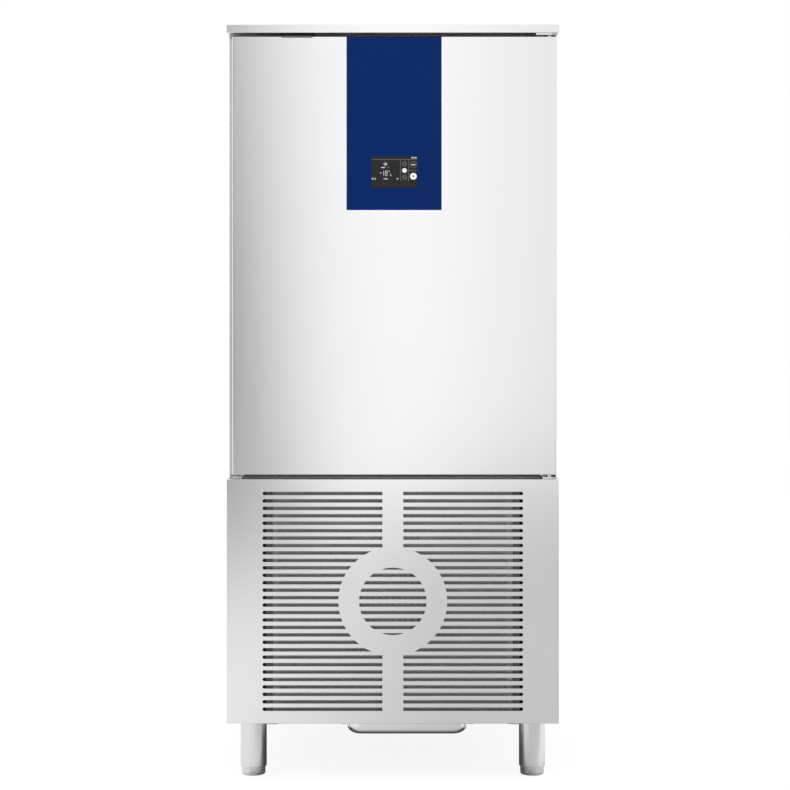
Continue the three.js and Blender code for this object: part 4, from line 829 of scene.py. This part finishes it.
def make_leg(corner):
    """A tube closed at its top, with a rounded lower lip."""
    node = f"leg_{corner}"
    x, y, r, z0, z1 = round_span(node)
    bore = r - LEG_WALL
    profile = [(0, z1 - LEG_WALL), (bore, z1 - LEG_WALL), (bore, z0 + LEG_WALL), (bore, z0 + 0.4)]
    profile += arc(r - LEG_LIP, z0 + LEG_LIP, LEG_LIP, -90, 0, 4)
    profile += [(r, z1 - 0.5), (r - 0.2, z1 - 0.1), (r - 0.6, z1), (0, z1)]
    turned_form(node, profile, x, y, 72)


def make_foot(corner):
    """A round foot with a rolled lower edge and grip grooves, on its threaded stem."""
    node = f"foot_{corner}"
    x, y, r, z0, z1 = round_span(node)
    profile = [(0, z0), (r - FOOT_EDGE, z0)] + arc(r - FOOT_EDGE, z0 + FOOT_EDGE, FOOT_EDGE, -75, 0, 6)
    for groove in FOOT_GROOVES:
        profile += [(r, groove - 0.3), (r - 0.3, groove), (r, groove + 0.3)]
    root = STEM_RADIUS - 1
    profile += [(r, FOOT_NECK_TOP - 1), (r - 1, FOOT_NECK_TOP), (root, FOOT_NECK_TOP)]
    z = FOOT_NECK_TOP + 0.4
    while z + STEM_PITCH < z1 - 1:
        profile += [(root, z), (STEM_RADIUS, z + STEM_PITCH * 0.4), (STEM_RADIUS, z + STEM_PITCH * 0.6)]
        z += STEM_PITCH
    profile += [(root, z), (root - 1, z1), (0, z1)]
    turned_form(node, profile, x, y)


def rounded_loop(half_x, y0, y1, radius, middle_x=0.0):
    """Points round a rectangle with rounded corners, counter-clockwise."""
    x, low, high = half_x - radius, y0 + radius, y1 - radius
    points = []
    for cx, cy, start in ((x, low, -90), (x, high, 0), (-x, high, 90), (-x, low, 180)):
        points += arc(middle_x + cx, cy, radius, start, start + 90, 6)
    return points


def pan_skin(bm, x, half, y0, y1, z0, z1, wall):
    """One skin of a pan, a wall further in, from its floor to its rim. Returns the rim's vertices."""
    edge, rise = TRAY_EDGE - wall, TRAY_EDGE_RISE - wall
    loops = []
    for inset, height in arc(edge, rise, edge, -90, -180, 9, rise) + [(0.0, z1 - z0 - wall)]:
        inner = wall + inset
        outline = rounded_loop(half - inner, y0 + inner, y1 - inner, TRAY_CORNER + edge - inset)
        loops.append(level_loop(bm, outline, x, z0 + wall + height))
    bridge(bm, loops)
    bm.faces.new(loops[0])
    return loops[-1]


def make_drip_tray():
    """A pan with wide rounded lower edges, hung by a rim on each side."""
    (x0, y0, z0), (x1, y1, z1) = span("drip_tray")
    middle = (x0 + x1) / 2
    half = (x1 - x0) / 2 - TRAY_RIM
    bm = bmesh.new()
    z0 += TRAY_FLOOR_RISE
    bridge(bm, [pan_skin(bm, middle, half, y0, y1, z0, z1, wall) for wall in (0.0, TRAY_WALL)])
    for side in (-1, 1):
        block(bm, (middle + side * (half - 0.7), y0 + TRAY_RIM_INSET, z1 - TRAY_WALL),
              (middle + side * (half + TRAY_RIM), y1 - TRAY_RIM_INSET, z1))
    round_edges(formed("drip_tray", bm), 0.3, 60)


# ---- fascia and display
WINDOW_GAP = 0.03
WINDOW_CHAMFER = 0.05
WINDOW_CORNER = 1.0
GLASS_FACE = FRONT + 0.3
GLASS_BACK = FRONT + 2.0
MARK_RISE = 0.2  # marks above the glass
HOUSING_INSET = 6.0
STROKE = 1.15
HAIRLINE = 0.5


def display_outline(outward):
    """The outline of the touch display, moved outwards."""
    (x0, _, z0), (x1, _, z1) = span("touch_display")
    corner = WINDOW_CORNER + max(outward, 0.0)
    return rounded_loop((x1 - x0) / 2 + outward, z0 - outward, z1 + outward, corner, (x0 + x1) / 2)


def make_fascia():
    """The blue fascia with a window for the display."""
    low, high = span("control_fascia")
    window = display_outline(WINDOW_GAP)
    bm = bmesh.new()
    bridge(bm, perforated_sheet(bm, rim_of(low, high, 0.0), [window], low[1], high[1], edge=WINDOW_CHAMFER))
    even_shading(formed("control_fascia", bm))


def make_display_glass():
    """The glass, with the housing behind it."""
    bm = bmesh.new()
    plate(bm, display_outline(0.0), GLASS_FACE, GLASS_BACK)
    plate(bm, display_outline(-HOUSING_INSET), GLASS_BACK, span("touch_display")[1][1])
    round_edges(formed("touch_display", bm), WINDOW_CHAMFER)


class Marks:
    """Flat marks on the display, at places from the lower left corner of the glass."""

    def __init__(self, name):
        self.name = name
        self.x, _, self.z = span("touch_display")[0]
        self.y = (GLASS_FACE - MARK_RISE, GLASS_FACE)
        self.bm = bmesh.new()

    def shape(self, points):
        plate(self.bm, [(self.x + x, self.z + z) for x, z in points], *self.y)

    def bar(self, x0, x1, z0, z1):
        self.shape([(x0, z0), (x1, z0), (x1, z1), (x0, z1)])

    def stroke(self, x0, z0, x1, z1, width):
        """A straight stroke between two points."""
        share = width / 2 / math.dist((x0, z0), (x1, z1))
        dx, dz = (x1 - x0) * share, (z1 - z0) * share
        self.shape([(x0 + dz, z0 - dx), (x1 + dz, z1 - dx), (x1 - dz, z1 + dx), (x0 - dz, z0 + dx)])

    def disc(self, x, z, radius):
        self.shape(circle(x, z, radius, 40))

    def ring(self, x, z, outer, inner):
        hoop(self.bm, self.x + x, self.z + z, inner, outer, *self.y)

    def bend(self, x, z, radius, start, end, width):
        """A stroke along an arc about x, z, angles in degrees."""
        outer = arc(x, z, radius + width / 2, start, end, 16)
        self.shape(outer + arc(x, z, radius - width / 2, end, start, 16))

    def star(self, x, z, outer, inner, points):
        """A star with straight points, one of them upright."""
        tips = arc(x, z, outer, 90, 450, points)[:-1]
        roots = arc(x, z, inner, 90 + 180 / points, 450 + 180 / points, points)[:-1]
        self.shape([corner for pair in zip(tips, roots) for corner in pair])

    def done(self):
        place(self.name, self.bm, "display_glass", "door", look=self.name)


ICON_X = 79.2  # column of small icons
ICON_ROWS = (23.5, 39.8, 55.6)
BUTTON_X = 100.4
BUTTON_ROWS = (26.0, 53.6)
COLUMN_X = (69.6, 88.8)  # lines between the columns
LINES_X = (0.6, 108.4)  # from where to where the level lines go
HEADER_Z = 65.7
FOOT_Z = 14.0
STAR_X = 34.2
FIGURE_Z = 27.0  # foot of the figures
FIGURE_TOP = 39.8
EIGHT_X = 36.0
LOWER_LOOP = 3.7
UPPER_LOOP = 3.1


def make_display_lines():
    marks = Marks("display_lines")
    marks.bar(*LINES_X, HEADER_Z - HAIRLINE, HEADER_Z + HAIRLINE)
    for x in COLUMN_X:
        marks.bar(x - HAIRLINE, x + HAIRLINE, FOOT_Z, HEADER_Z - HAIRLINE)
    marks.bar(COLUMN_X[1] + HAIRLINE, LINES_X[1], ICON_ROWS[1] - HAIRLINE, ICON_ROWS[1] + HAIRLINE)
    marks.done()


def make_display_dim():
    """Signs that stand by: rings, a slanted bar, an open button and a bar."""
    marks = Marks("display_dim")
    for z in (ICON_ROWS[0], ICON_ROWS[2]):
        marks.ring(ICON_X, z, 5.9, 4.7)
    marks.ring(ICON_X, ICON_ROWS[2], 3.2, 2.2)
    marks.stroke(ICON_X - 3.1, ICON_ROWS[0] + 2.4, ICON_X + 3.1, ICON_ROWS[0] - 2.4, 2.2)
    marks.ring(BUTTON_X, BUTTON_ROWS[1], 8.0, 6.9)
    marks.ring(STAR_X, 55.5, 5.8, 5.0)
    marks.bar(38.0, 43.5, 45.4, 47.4)
    marks.done()


def make_display_buttons():
    marks = Marks("display_buttons")
    marks.disc(ICON_X, ICON_ROWS[1], 5.5)
    marks.ring(BUTTON_X, BUTTON_ROWS[0], 7.9, 1.9)
    marks.done()


def make_display_lit():
    """The temperature in round figures, a frost star and small signs."""
    marks = Marks("display_lit")
    marks.bar(BUTTON_X - 4.6, BUTTON_X + 4.6, BUTTON_ROWS[1] - 1.3, BUTTON_ROWS[1] + 1.3)
    marks.star(STAR_X, 55.0, 5.8, 1.5, 6)
    marks.bar(23.7, 32.8, 45.6, 47.8)
    # minus eighteen: a bar, an upright and two loops, then the degree and the scale
    marks.bar(20.5, 25.2, 33.4, 34.8)
    marks.bar(29.0, 29.0 + STROKE, FIGURE_Z + 0.6, FIGURE_TOP - 0.6)
    marks.ring(EIGHT_X, FIGURE_Z + LOWER_LOOP, LOWER_LOOP, LOWER_LOOP - STROKE)
    marks.ring(EIGHT_X, FIGURE_TOP - UPPER_LOOP, UPPER_LOOP, UPPER_LOOP - STROKE)
    marks.disc(42.6, FIGURE_TOP - 2.0, 1.4)
    marks.bend(48.2, FIGURE_Z + 3.0, 2.9, 120, 270, STROKE)
    # the signs of the lower line, and four small ones in the header
    marks.disc(3.6, 20.2, 2.1)
    marks.bar(9.8, 11.0, 17.8, 22.4)
    for z in (17.8, 19.7, 21.6):
        marks.bar(8.0, 9.8, z, z + 0.8)
    marks.bend(31.2, 18.2, 2.7, 40, 160, 0.9)
    marks.disc(34.6, 20.0, 2.0)
    marks.bend(38.0, 22.2, 3.2, 230, 320, 0.9)
    marks.stroke(60.9, 21.4, 64.3, 19.2, 2.4)
    for x in (95.8, 98.8, 102.8, 105.8):
        marks.bar(x, x + 2.2, 68.4, 71.8)
    marks.done()


# ---- hinges and switch
PIN_RADIUS = 5.0
COLLAR_RADIUS = 7.0
# Outlines of (x, z) points, z from the bracket's outer face towards the door.
HINGE_END = ((377, 0), (392.2, 0), (391.8, 1.4), (389.4, 5.0), (377, 5.0))
HINGE_END_Y = (-406.4, -404.6)
# Black blocks beside the pins: painted shade, a dark piece put where the hollow beside each pin lies in
# shade.
HINGE_SHADE_BLOCK = ((381.6, 0), (389.0, 0), (387.2, 3.4), (381.6, 3.4))
HINGE_SHADE_BLOCK_Y = (-405.4, -384.0)


def make_pin(node, door_edge, plate_z, way):
    """A pin with a collar between the door's edge and the bracket's plate. The way is away from the door."""
    x, y, _, *ends = round_span(node)
    inner, outer = ends[::way]
    near, far = door_edge + 0.3 * way, plate_z
    r, collar, edge = PIN_RADIUS, COLLAR_RADIUS, 0.6 * way
    profile = [(0, inner), (r - 1, inner), (r, inner + way), (r, near), (collar - 0.6, near)]
    profile += [(collar, near + edge), (collar, far - edge), (collar - 0.6, far)]
    profile += [(r, far), (r, outer), (0, outer)]
    turned_form(node, profile, x, y, 40, f"{node}_turned")


def make_pins():
    foot, top = [corner[2] for corner in span("door_outer_skin")]
    make_pin("hinge_pin_upper", top, span("hinge_pin_upper")[1][2] - 5.0, 1)
    make_pin("hinge_pin_lower", foot, span("hinge_pin_lower")[0][2] + 5.3, -1)


def add_trim(name, outline, depths, slot, body, rounding, look=None):
    """A small plate that stands for no node."""
    bm = bmesh.new()
    plate(bm, outline, *depths)
    round_edges(place(name, bm, slot, body, look=look), rounding)


def make_hinge_ends():
    """The sloped outer ends of the hinge brackets, and black blocks beside the pins: painted shade for the
    hollow there.
    """
    top = span("hinge_bracket_upper")[1][2]
    foot = span("hinge_bracket_lower")[0][2]
    slot, look = "stainless_fitting", "galvanised_steel"
    for side, z, way in (("upper", top, -1), ("lower", foot, 1)):
        outline = [(x, z + rise * way) for x, rise in HINGE_END]
        add_trim(f"hinge_end_{side}", outline, HINGE_END_Y, slot, "cabinet", 0.3, look)
    # the black blocks beside the pins: painted shade for the hollow there
    for side, z, way in (("upper", top - 5.2, -1), ("lower", foot + 5.6, 1)):
        outline = [(x, z + rise * way) for x, rise in HINGE_SHADE_BLOCK]
        add_trim(f"hinge_shade_block_{side}", outline, HINGE_SHADE_BLOCK_Y, "black_plastic", "cabinet", 0.4)


def make_switch_strike():
    """The pad on the door's top edge that works the switch."""
    (x0, y0, _), (x1, _, _) = span("door_switch")
    door_top = span("door_outer_skin")[1][2]
    low, high = door_top - 2.4, door_top + 1.4
    outline = [(x0 - 0.5, low), (x1, low), (x1, high), (x0 + 2.5, high)]
    add_trim("door_switch_strike", outline, (FRONT + 1.2, y0 + 6.0), "grey_plastic", "door", 0.4)


# ---- door seal
SEAL_SECTION = (  # inward from the outer edge, forward from the door's side
    (1.0, 0.0), (0.0, 1.0), (0.0, 1.7), (1.6, 2.3), (0.6, 3.0), (0.7, 4.4), (2.4, 5.7),
    (11.6, 5.7), (13.3, 4.4), (13.4, 3.0), (12.4, 2.3), (14.0, 1.7), (14.0, 1.0), (13.0, 0.0),
)
SEAL_CORNER = 17.0


def make_gasket():
    """A bellows seal: grooved sides and a soft face, welded into a frame."""
    (_, y0, z0), (x1, _, z1) = span("door_gasket")
    bm = bmesh.new()
    loops = []
    for inset, rise in SEAL_SECTION:
        outline = rounded_loop(x1 - inset, z0 + inset, z1 - inset, SEAL_CORNER - inset)
        loops.append(upright_loop(bm, outline, y0 + rise))
    bridge(bm, loops + [loops[0]])
    formed("door_gasket", bm)


# ---- fans
FANS = {  # blades node: joint, motor node, radius of the blades
    "evaporator_fan_blades_upper": ("evaporator_fan_upper_spin", "evaporator_fan_motor_upper", 150.0),
    "evaporator_fan_blades_lower": ("evaporator_fan_lower_spin", "evaporator_fan_motor_lower", 150.0),
    "condenser_fan_blades": ("condenser_fan_spin", "condenser_fan_motor", 175.0),
}
BLADE_COUNT = 5
BLADE_ROWS = 12
BLADE_COLUMNS = 10
BLADE_SHEET = 1.6
HUB_RADIUS = 38.0
HUB_DEPTH = 26.0
MOTOR_RADIUS = 42.0
MOTOR_LENGTH = 74.0
MOTOR_RIBS = 9
SHAFT_RADIUS = 6.0
ARM_WIDTH = 14.0
ARM_SHEET = 5.0
GUARD_RINGS = 8
GUARD_WIRE = 1.6


def axis_height(joint):
    rows = frame["record"]["behaviour"]["joints"]
    return next(row for row in rows if row["name"] == joint)["pos_m"][2] / MM


def blade_point(share, across, tip, turn):
    """x, depth and z of a point of the blade's middle surface, from the middle of the hub.

    The share goes from 0 at the root to 1 at the tip, across from -1 to 1.
    """
    root = HUB_RADIUS - 3
    radius = root + (tip - root) * share
    half_chord = (0.42 - 0.10 * share) * (1 - 0.12 * across * across * share)
    angle = turn + 0.24 * share * share + half_chord * across
    twist = 0.46 - 0.20 * share
    camber = 2.2 * (1 - across * across)
    limit = HUB_DEPTH / 2 - 1
    depth = max(-limit, min(limit, HUB_DEPTH * twist * across + camber))
    return radius * math.cos(angle), depth, radius * math.sin(angle)


def make_blades(node, joint, tip):
    """Twisted blades on a hub with a bore for the shaft."""
    y0 = span(node)[0][1]
    z = axis_height(joint)
    bm = bmesh.new()
    across = [2 * j / BLADE_COLUMNS - 1 for j in range(BLADE_COLUMNS + 1)]
    for blade in range(BLADE_COUNT):
        turn = 2 * math.pi * blade / BLADE_COUNT
        grid = [[blade_point(i / BLADE_ROWS, a, tip, turn) for a in across] for i in range(BLADE_ROWS + 1)]
        middles = [y0 + HUB_DEPTH / 2 + offset for offset in (-BLADE_SHEET / 2, BLADE_SHEET / 2)]
        two_skins(bm, [[[vertex(bm, x, y + depth, z + dz) for x, depth, dz in line] for line in grid]
                       for y in middles])
    back = y0 + HUB_DEPTH
    bore = SHAFT_RADIUS + 0.5
    turned(bm, [(0, y0 + 1.5), (10, y0 + 1.5), (12, y0), (HUB_RADIUS - 5, y0), (HUB_RADIUS - 1.5, y0 + 1.5),
                (HUB_RADIUS, y0 + 5), (HUB_RADIUS, back - 1), (HUB_RADIUS - 1, back), (bore, back),
                (bore, y0 + 9), (0, y0 + 9)], 0, z, 48, "y")
    formed(node, bm)


def make_motor(node, joint):
    """A ribbed motor body on three arms, with its shaft forward."""
    (_, y0, z0), (_, y1, _) = span(node)
    z = axis_height(joint)
    arm_y = y1 - MOTOR_LENGTH
    r, groove = MOTOR_RADIUS, MOTOR_RADIUS - 2
    profile = [(0, y0), (SHAFT_RADIUS, y0), (SHAFT_RADIUS, arm_y)]
    profile += [(r - 8, arm_y), (r - 3, arm_y + 2), (r, arm_y + 8)]
    for rib in range(MOTOR_RIBS):
        y = arm_y + 14 + rib * 5
        profile += [(r, y), (groove, y + 0.8), (groove, y + 2.4), (r, y + 3.2)]
    profile += [(r, y1 - 9), (r - 3, y1 - 3), (r - 9, y1), (0, y1)]
    bm = bmesh.new()
    turned(bm, profile, 0, z, 48, "y")
    half, inner, outer = ARM_WIDTH / 2, r - 10, z - z0
    corners = ((inner, -half), (outer, -half), (outer, half), (inner, half))
    for dx, dz in arc(0, 0, 1, -90, 150, 2):
        plate(bm, [(u * dx - v * dz, z + u * dz + v * dx) for u, v in corners], arm_y, arm_y + ARM_SHEET)
    round_edges(formed(node, bm), 0.4, 50)


def make_guard(node):
    """Round wires: rings on four spokes, with a small boss."""
    (_, y0, z0), (x1, y1, z1) = span(node)
    radius = x1 - GUARD_WIRE
    z = (z0 + z1) / 2
    bm = bmesh.new()
    for ring in range(2, GUARD_RINGS + 2):
        section = arc(radius * ring / (GUARD_RINGS + 1), y0 + GUARD_WIRE, GUARD_WIRE, 0, 360, 8)
        turned(bm, section, 0, z, 72, "y")
    spoke_y = y1 - GUARD_WIRE
    for (x0, low), (x1, high) in zip(arc(0, z, 10, 45, 315, 3), arc(0, z, radius, 45, 315, 3)):
        tube_along(bm, [(x0, spoke_y, low), (x1, spoke_y, high)], GUARD_WIRE, 8)
    turned(bm, [(0, y0), (14, y0), (16, y0 + 1), (16, y1 - 1), (15, y1), (0, y1)], 0, z, 40, "y")
    standing_for(node, bm, f"{node}_wire")


# ---- fan panel, rear panel and machinery
FAN_PANEL_FOLD = 20.0
FAN_OPENING = 156.0


def make_fan_panel():
    """A folded sheet with a round opening for each fan."""
    low, high = span("evaporator_fan_panel")
    face = low[1]
    joints = ("evaporator_fan_upper_spin", "evaporator_fan_lower_spin")
    holes = [circle(0, axis_height(joint), FAN_OPENING, 80) for joint in joints]
    bm = bmesh.new()
    front, back = perforated_sheet(bm, rim_of(low, high, -SHEET), holes, face, face + SHEET)
    folds = [upright_loop(bm, rim_of(low, high, out), y) for out, y in folded_edge(face, FAN_PANEL_FOLD)]
    bridge(bm, [front, *folds, back])
    even_shading(formed("evaporator_fan_panel", bm))


VENT_ROWS = 6
VENT_TOP_Z = 580.0
VENT_PITCH = 34.0
VENT_HEIGHT = 10.0
VENT_LENGTH = 190.0
VENT_X = 150.0
VENTS = [(x, VENT_TOP_Z - row * VENT_PITCH) for row in range(VENT_ROWS) for x in (-VENT_X, VENT_X)]
GLAND_X = 300.0
GLAND_Z = 220.0
GLAND_HOLE = 12.3
SCREW_HEAD = 4.2
SCREW_EDGE = 14
HOOD_MARGIN = 3.0
HOOD_DEPTH = 8.0
HOOD_SHEET = 1.0
HOOD_COLUMNS = 40
HOOD_ROWS = 8


def louvre_hood(bm, x, z, face):
    """A pressed hood over a vent, open at its lower edge, with rounded ends."""
    half_length = VENT_LENGTH / 2 + HOOD_MARGIN
    top, foot = z + VENT_HEIGHT / 2 + HOOD_MARGIN, z - VENT_HEIGHT / 2 - 1
    skins = []
    for sheet in (0.0, HOOD_SHEET):
        skin = []
        for column in range(HOOD_COLUMNS + 1):
            share = 2 * column / HOOD_COLUMNS - 1
            place_x = x + share * (half_length - sheet)
            swell = HOOD_DEPTH * math.sqrt(max(1 - abs(share) ** 10, 0.0))
            line = []
            for row in range(HOOD_ROWS + 1):
                drop = row / HOOD_ROWS
                depth = max(swell * math.sin(drop * math.pi / 2) - sheet, -0.3)
                line.append(vertex(bm, place_x, face + depth, top - sheet + (foot - top) * drop))
            skin.append(line)
        skins.append(skin)
    two_skins(bm, skins)


def make_rear_panel():
    """A screwed cover with rows of hooded vents."""
    low, high = span("rear_vent_panel")
    face = high[1]
    half = VENT_HEIGHT / 2
    run = VENT_LENGTH / 2 - half
    holes = [circle(GLAND_X, GLAND_Z, GLAND_HOLE, 40)]
    for x, z in VENTS:
        holes.append(arc(x + run, z, half, -90, 90, 8) + arc(x - run, z, half, 90, 270, 8))
    bm = bmesh.new()
    bridge(bm, perforated_sheet(bm, rim_of(low, high, 0.0), holes, low[1], face))
    (x0, z0), _, (x1, z1), _ = rim_of(low, high, -SCREW_EDGE)
    screws = [(x, z) for x in (x0, x1) for z in strands(z0, z1, (z1 - z0) / 4.001)]
    screws += [(x, z) for x in (-180, 0, 180) for z in (z0, z1)]
    for x, z in screws:
        turned(bm, [(0, face + 0.9), (1.4, face + 0.9), (1.6, face + 2.0), (SCREW_HEAD - 1.4, face + 1.9),
                    (SCREW_HEAD - 0.4, face + 1.2), (SCREW_HEAD, face), (0, face)], x, z, 24, "y")
    for x, z in VENTS:
        louvre_hood(bm, x, z, face)
    even_shading(formed("rear_vent_panel", bm))


def make_gland():
    """The bare inlet for the mains cord: a bushed nut on the rear panel."""
    (_, y0, _), (_, y1, _) = span("mains_inlet_gland")
    face = span("rear_vent_panel")[1][1]
    bm = bmesh.new()
    turned(bm, [(7, y0), (11.5, y0), (12, y0 + 0.5), (12, face + 0.3), (17, face + 0.3), (17, face + 3.4),
                (16, face + 4.4), (13.6, face + 4.6), (13, y1 - 2.4), (11.8, y1 - 0.6), (10.6, y1), (8, y1),
                (7, y1 - 1), (7, y0)], GLAND_X, GLAND_Z, 40, "y")
    formed("mains_inlet_gland", bm)


COMPRESSOR_MOUNT = ((0, 0), (12, 0), (12, 4), (9, 6), (9, 9), (12, 11), (12, 13.6), (0, 13.6))


def make_compressor():
    """A welded shell with domed ends, on a plate with four rubber mounts."""
    (x0, y0, _), (x1, y1, _) = span("compressor")
    x, y, r, z0, z1 = round_span("compressor")
    base = z0 + 20
    seam = (base + z1) / 2 + 20
    profile = [(0, base)] + arc(0, base + 40, r, -80, 0, 8, 40)
    profile += [(r - 1, seam - 5), (r, seam - 4), (r, seam + 4), (r - 1, seam + 5)]
    profile += arc(0, z1 - 55, r, 0, 80, 8, 55) + [(0, z1)]
    bm = bmesh.new()
    turned(bm, profile, x, y)
    closed(bm, [level_loop(bm, rounded_loop(r, y0, y1, 24), x, height) for height in (z0 + 14, base)])
    mount = [(r, z0 + rise) for r, rise in COMPRESSOR_MOUNT]
    for mount_x, mount_y in itertools.product((x0 + 14, x1 - 14), (y0 + 14, y1 - 14)):
        turned(bm, mount, mount_x, mount_y, 24)
    even_shading(formed("compressor", bm))


def make_receiver():
    """A drawn vessel with a domed top, on a ring foot."""
    x, y, r, z0, z1 = round_span("liquid_receiver")
    profile = [(0, z0), (r - 8, z0), (r - 8, z0 + 10), (r - 4, z0 + 12), (r, z0 + 20), (r, z1 - 26)]
    profile += arc(0, z1 - 26, r, 10, 80, 7, 26) + [(0, z1)]
    turned_form("liquid_receiver", profile, x, y, 56)


def rounded_pipe(node):
    """The node's own pipe with its section made round."""
    piece = standing_for(node, own_form(node), f"{node}_drawn")
    smooth = piece.modifiers.new("round", "SUBSURF")
    smooth.levels = smooth.render_levels = 2


def make_drain():
    """The flanged drain pipe, and the plug with its grip."""
    x, y, flange, z0, z1 = round_span("drain_pipe")
    profile = [(12, z0), (14, z0), (14, z1 - 1.7), (flange, z1 - 1.7), (flange, z1 - 0.4), (flange - 0.4, z1)]
    turned_form("drain_pipe", profile + [(13, z1), (12, z1 - 1), (12, z0)], x, y, 56)
    _, _, r, z0, z1 = round_span("drain_plug")
    seat = z0 + 18.3
    profile = [(0, z0), (10, z0), (11.4, z0 + 1.6), (11.6, seat), (r - 1.6, seat), (r, seat + 1.2)]
    profile += [(r, seat + 3.4), (r - 1.4, seat + 4.8), (8.4, seat + 5.2), (6.4, seat + 6.8), (6, seat + 9)]
    profile += [(8.2, seat + 11), (9, seat + 13.5), (8.6, z1 - 2), (6.8, z1 - 0.2), (0, z1)]
    turned_form("drain_plug", profile, x, y, 48)


def finish_scene():
    bpy.context.scene.view_settings.view_transform = "Standard"


make_camera()
make_world()
make_floor()
make_lights()
paint_nodes()
make_louvred_panel()
for name in SOFTENED:
    round_edges(formed(name, own_form(name)), 0.6)
make_filter()
make_coil("condenser_coil", END_FLANGE, CONDENSER_FINS, 3)
make_coil("evaporator_coil", 0, EVAPORATOR_FINS, 4)
make_fascia()
make_display_glass()
make_display_lines()
make_display_dim()
make_display_buttons()
make_display_lit()
make_pins()
make_hinge_ends()
make_switch_strike()
make_gasket()
for blades, (joint, motor, radius) in FANS.items():
    make_blades(blades, joint, radius)
    make_motor(motor, joint)
make_guard("evaporator_fan_guard_upper")
make_guard("evaporator_fan_guard_lower")
make_fan_panel()
make_rear_panel()
make_gland()
make_compressor()
make_receiver()
for pipe in ("suction_pipe", "liquid_pipe", "discharge_pipe"):
    rounded_pipe(pipe)
make_drain()
for corner in ("front_left", "front_right", "rear_left", "rear_right"):
    make_leg(corner)
    make_foot(corner)
make_drip_tray()
finish_scene()
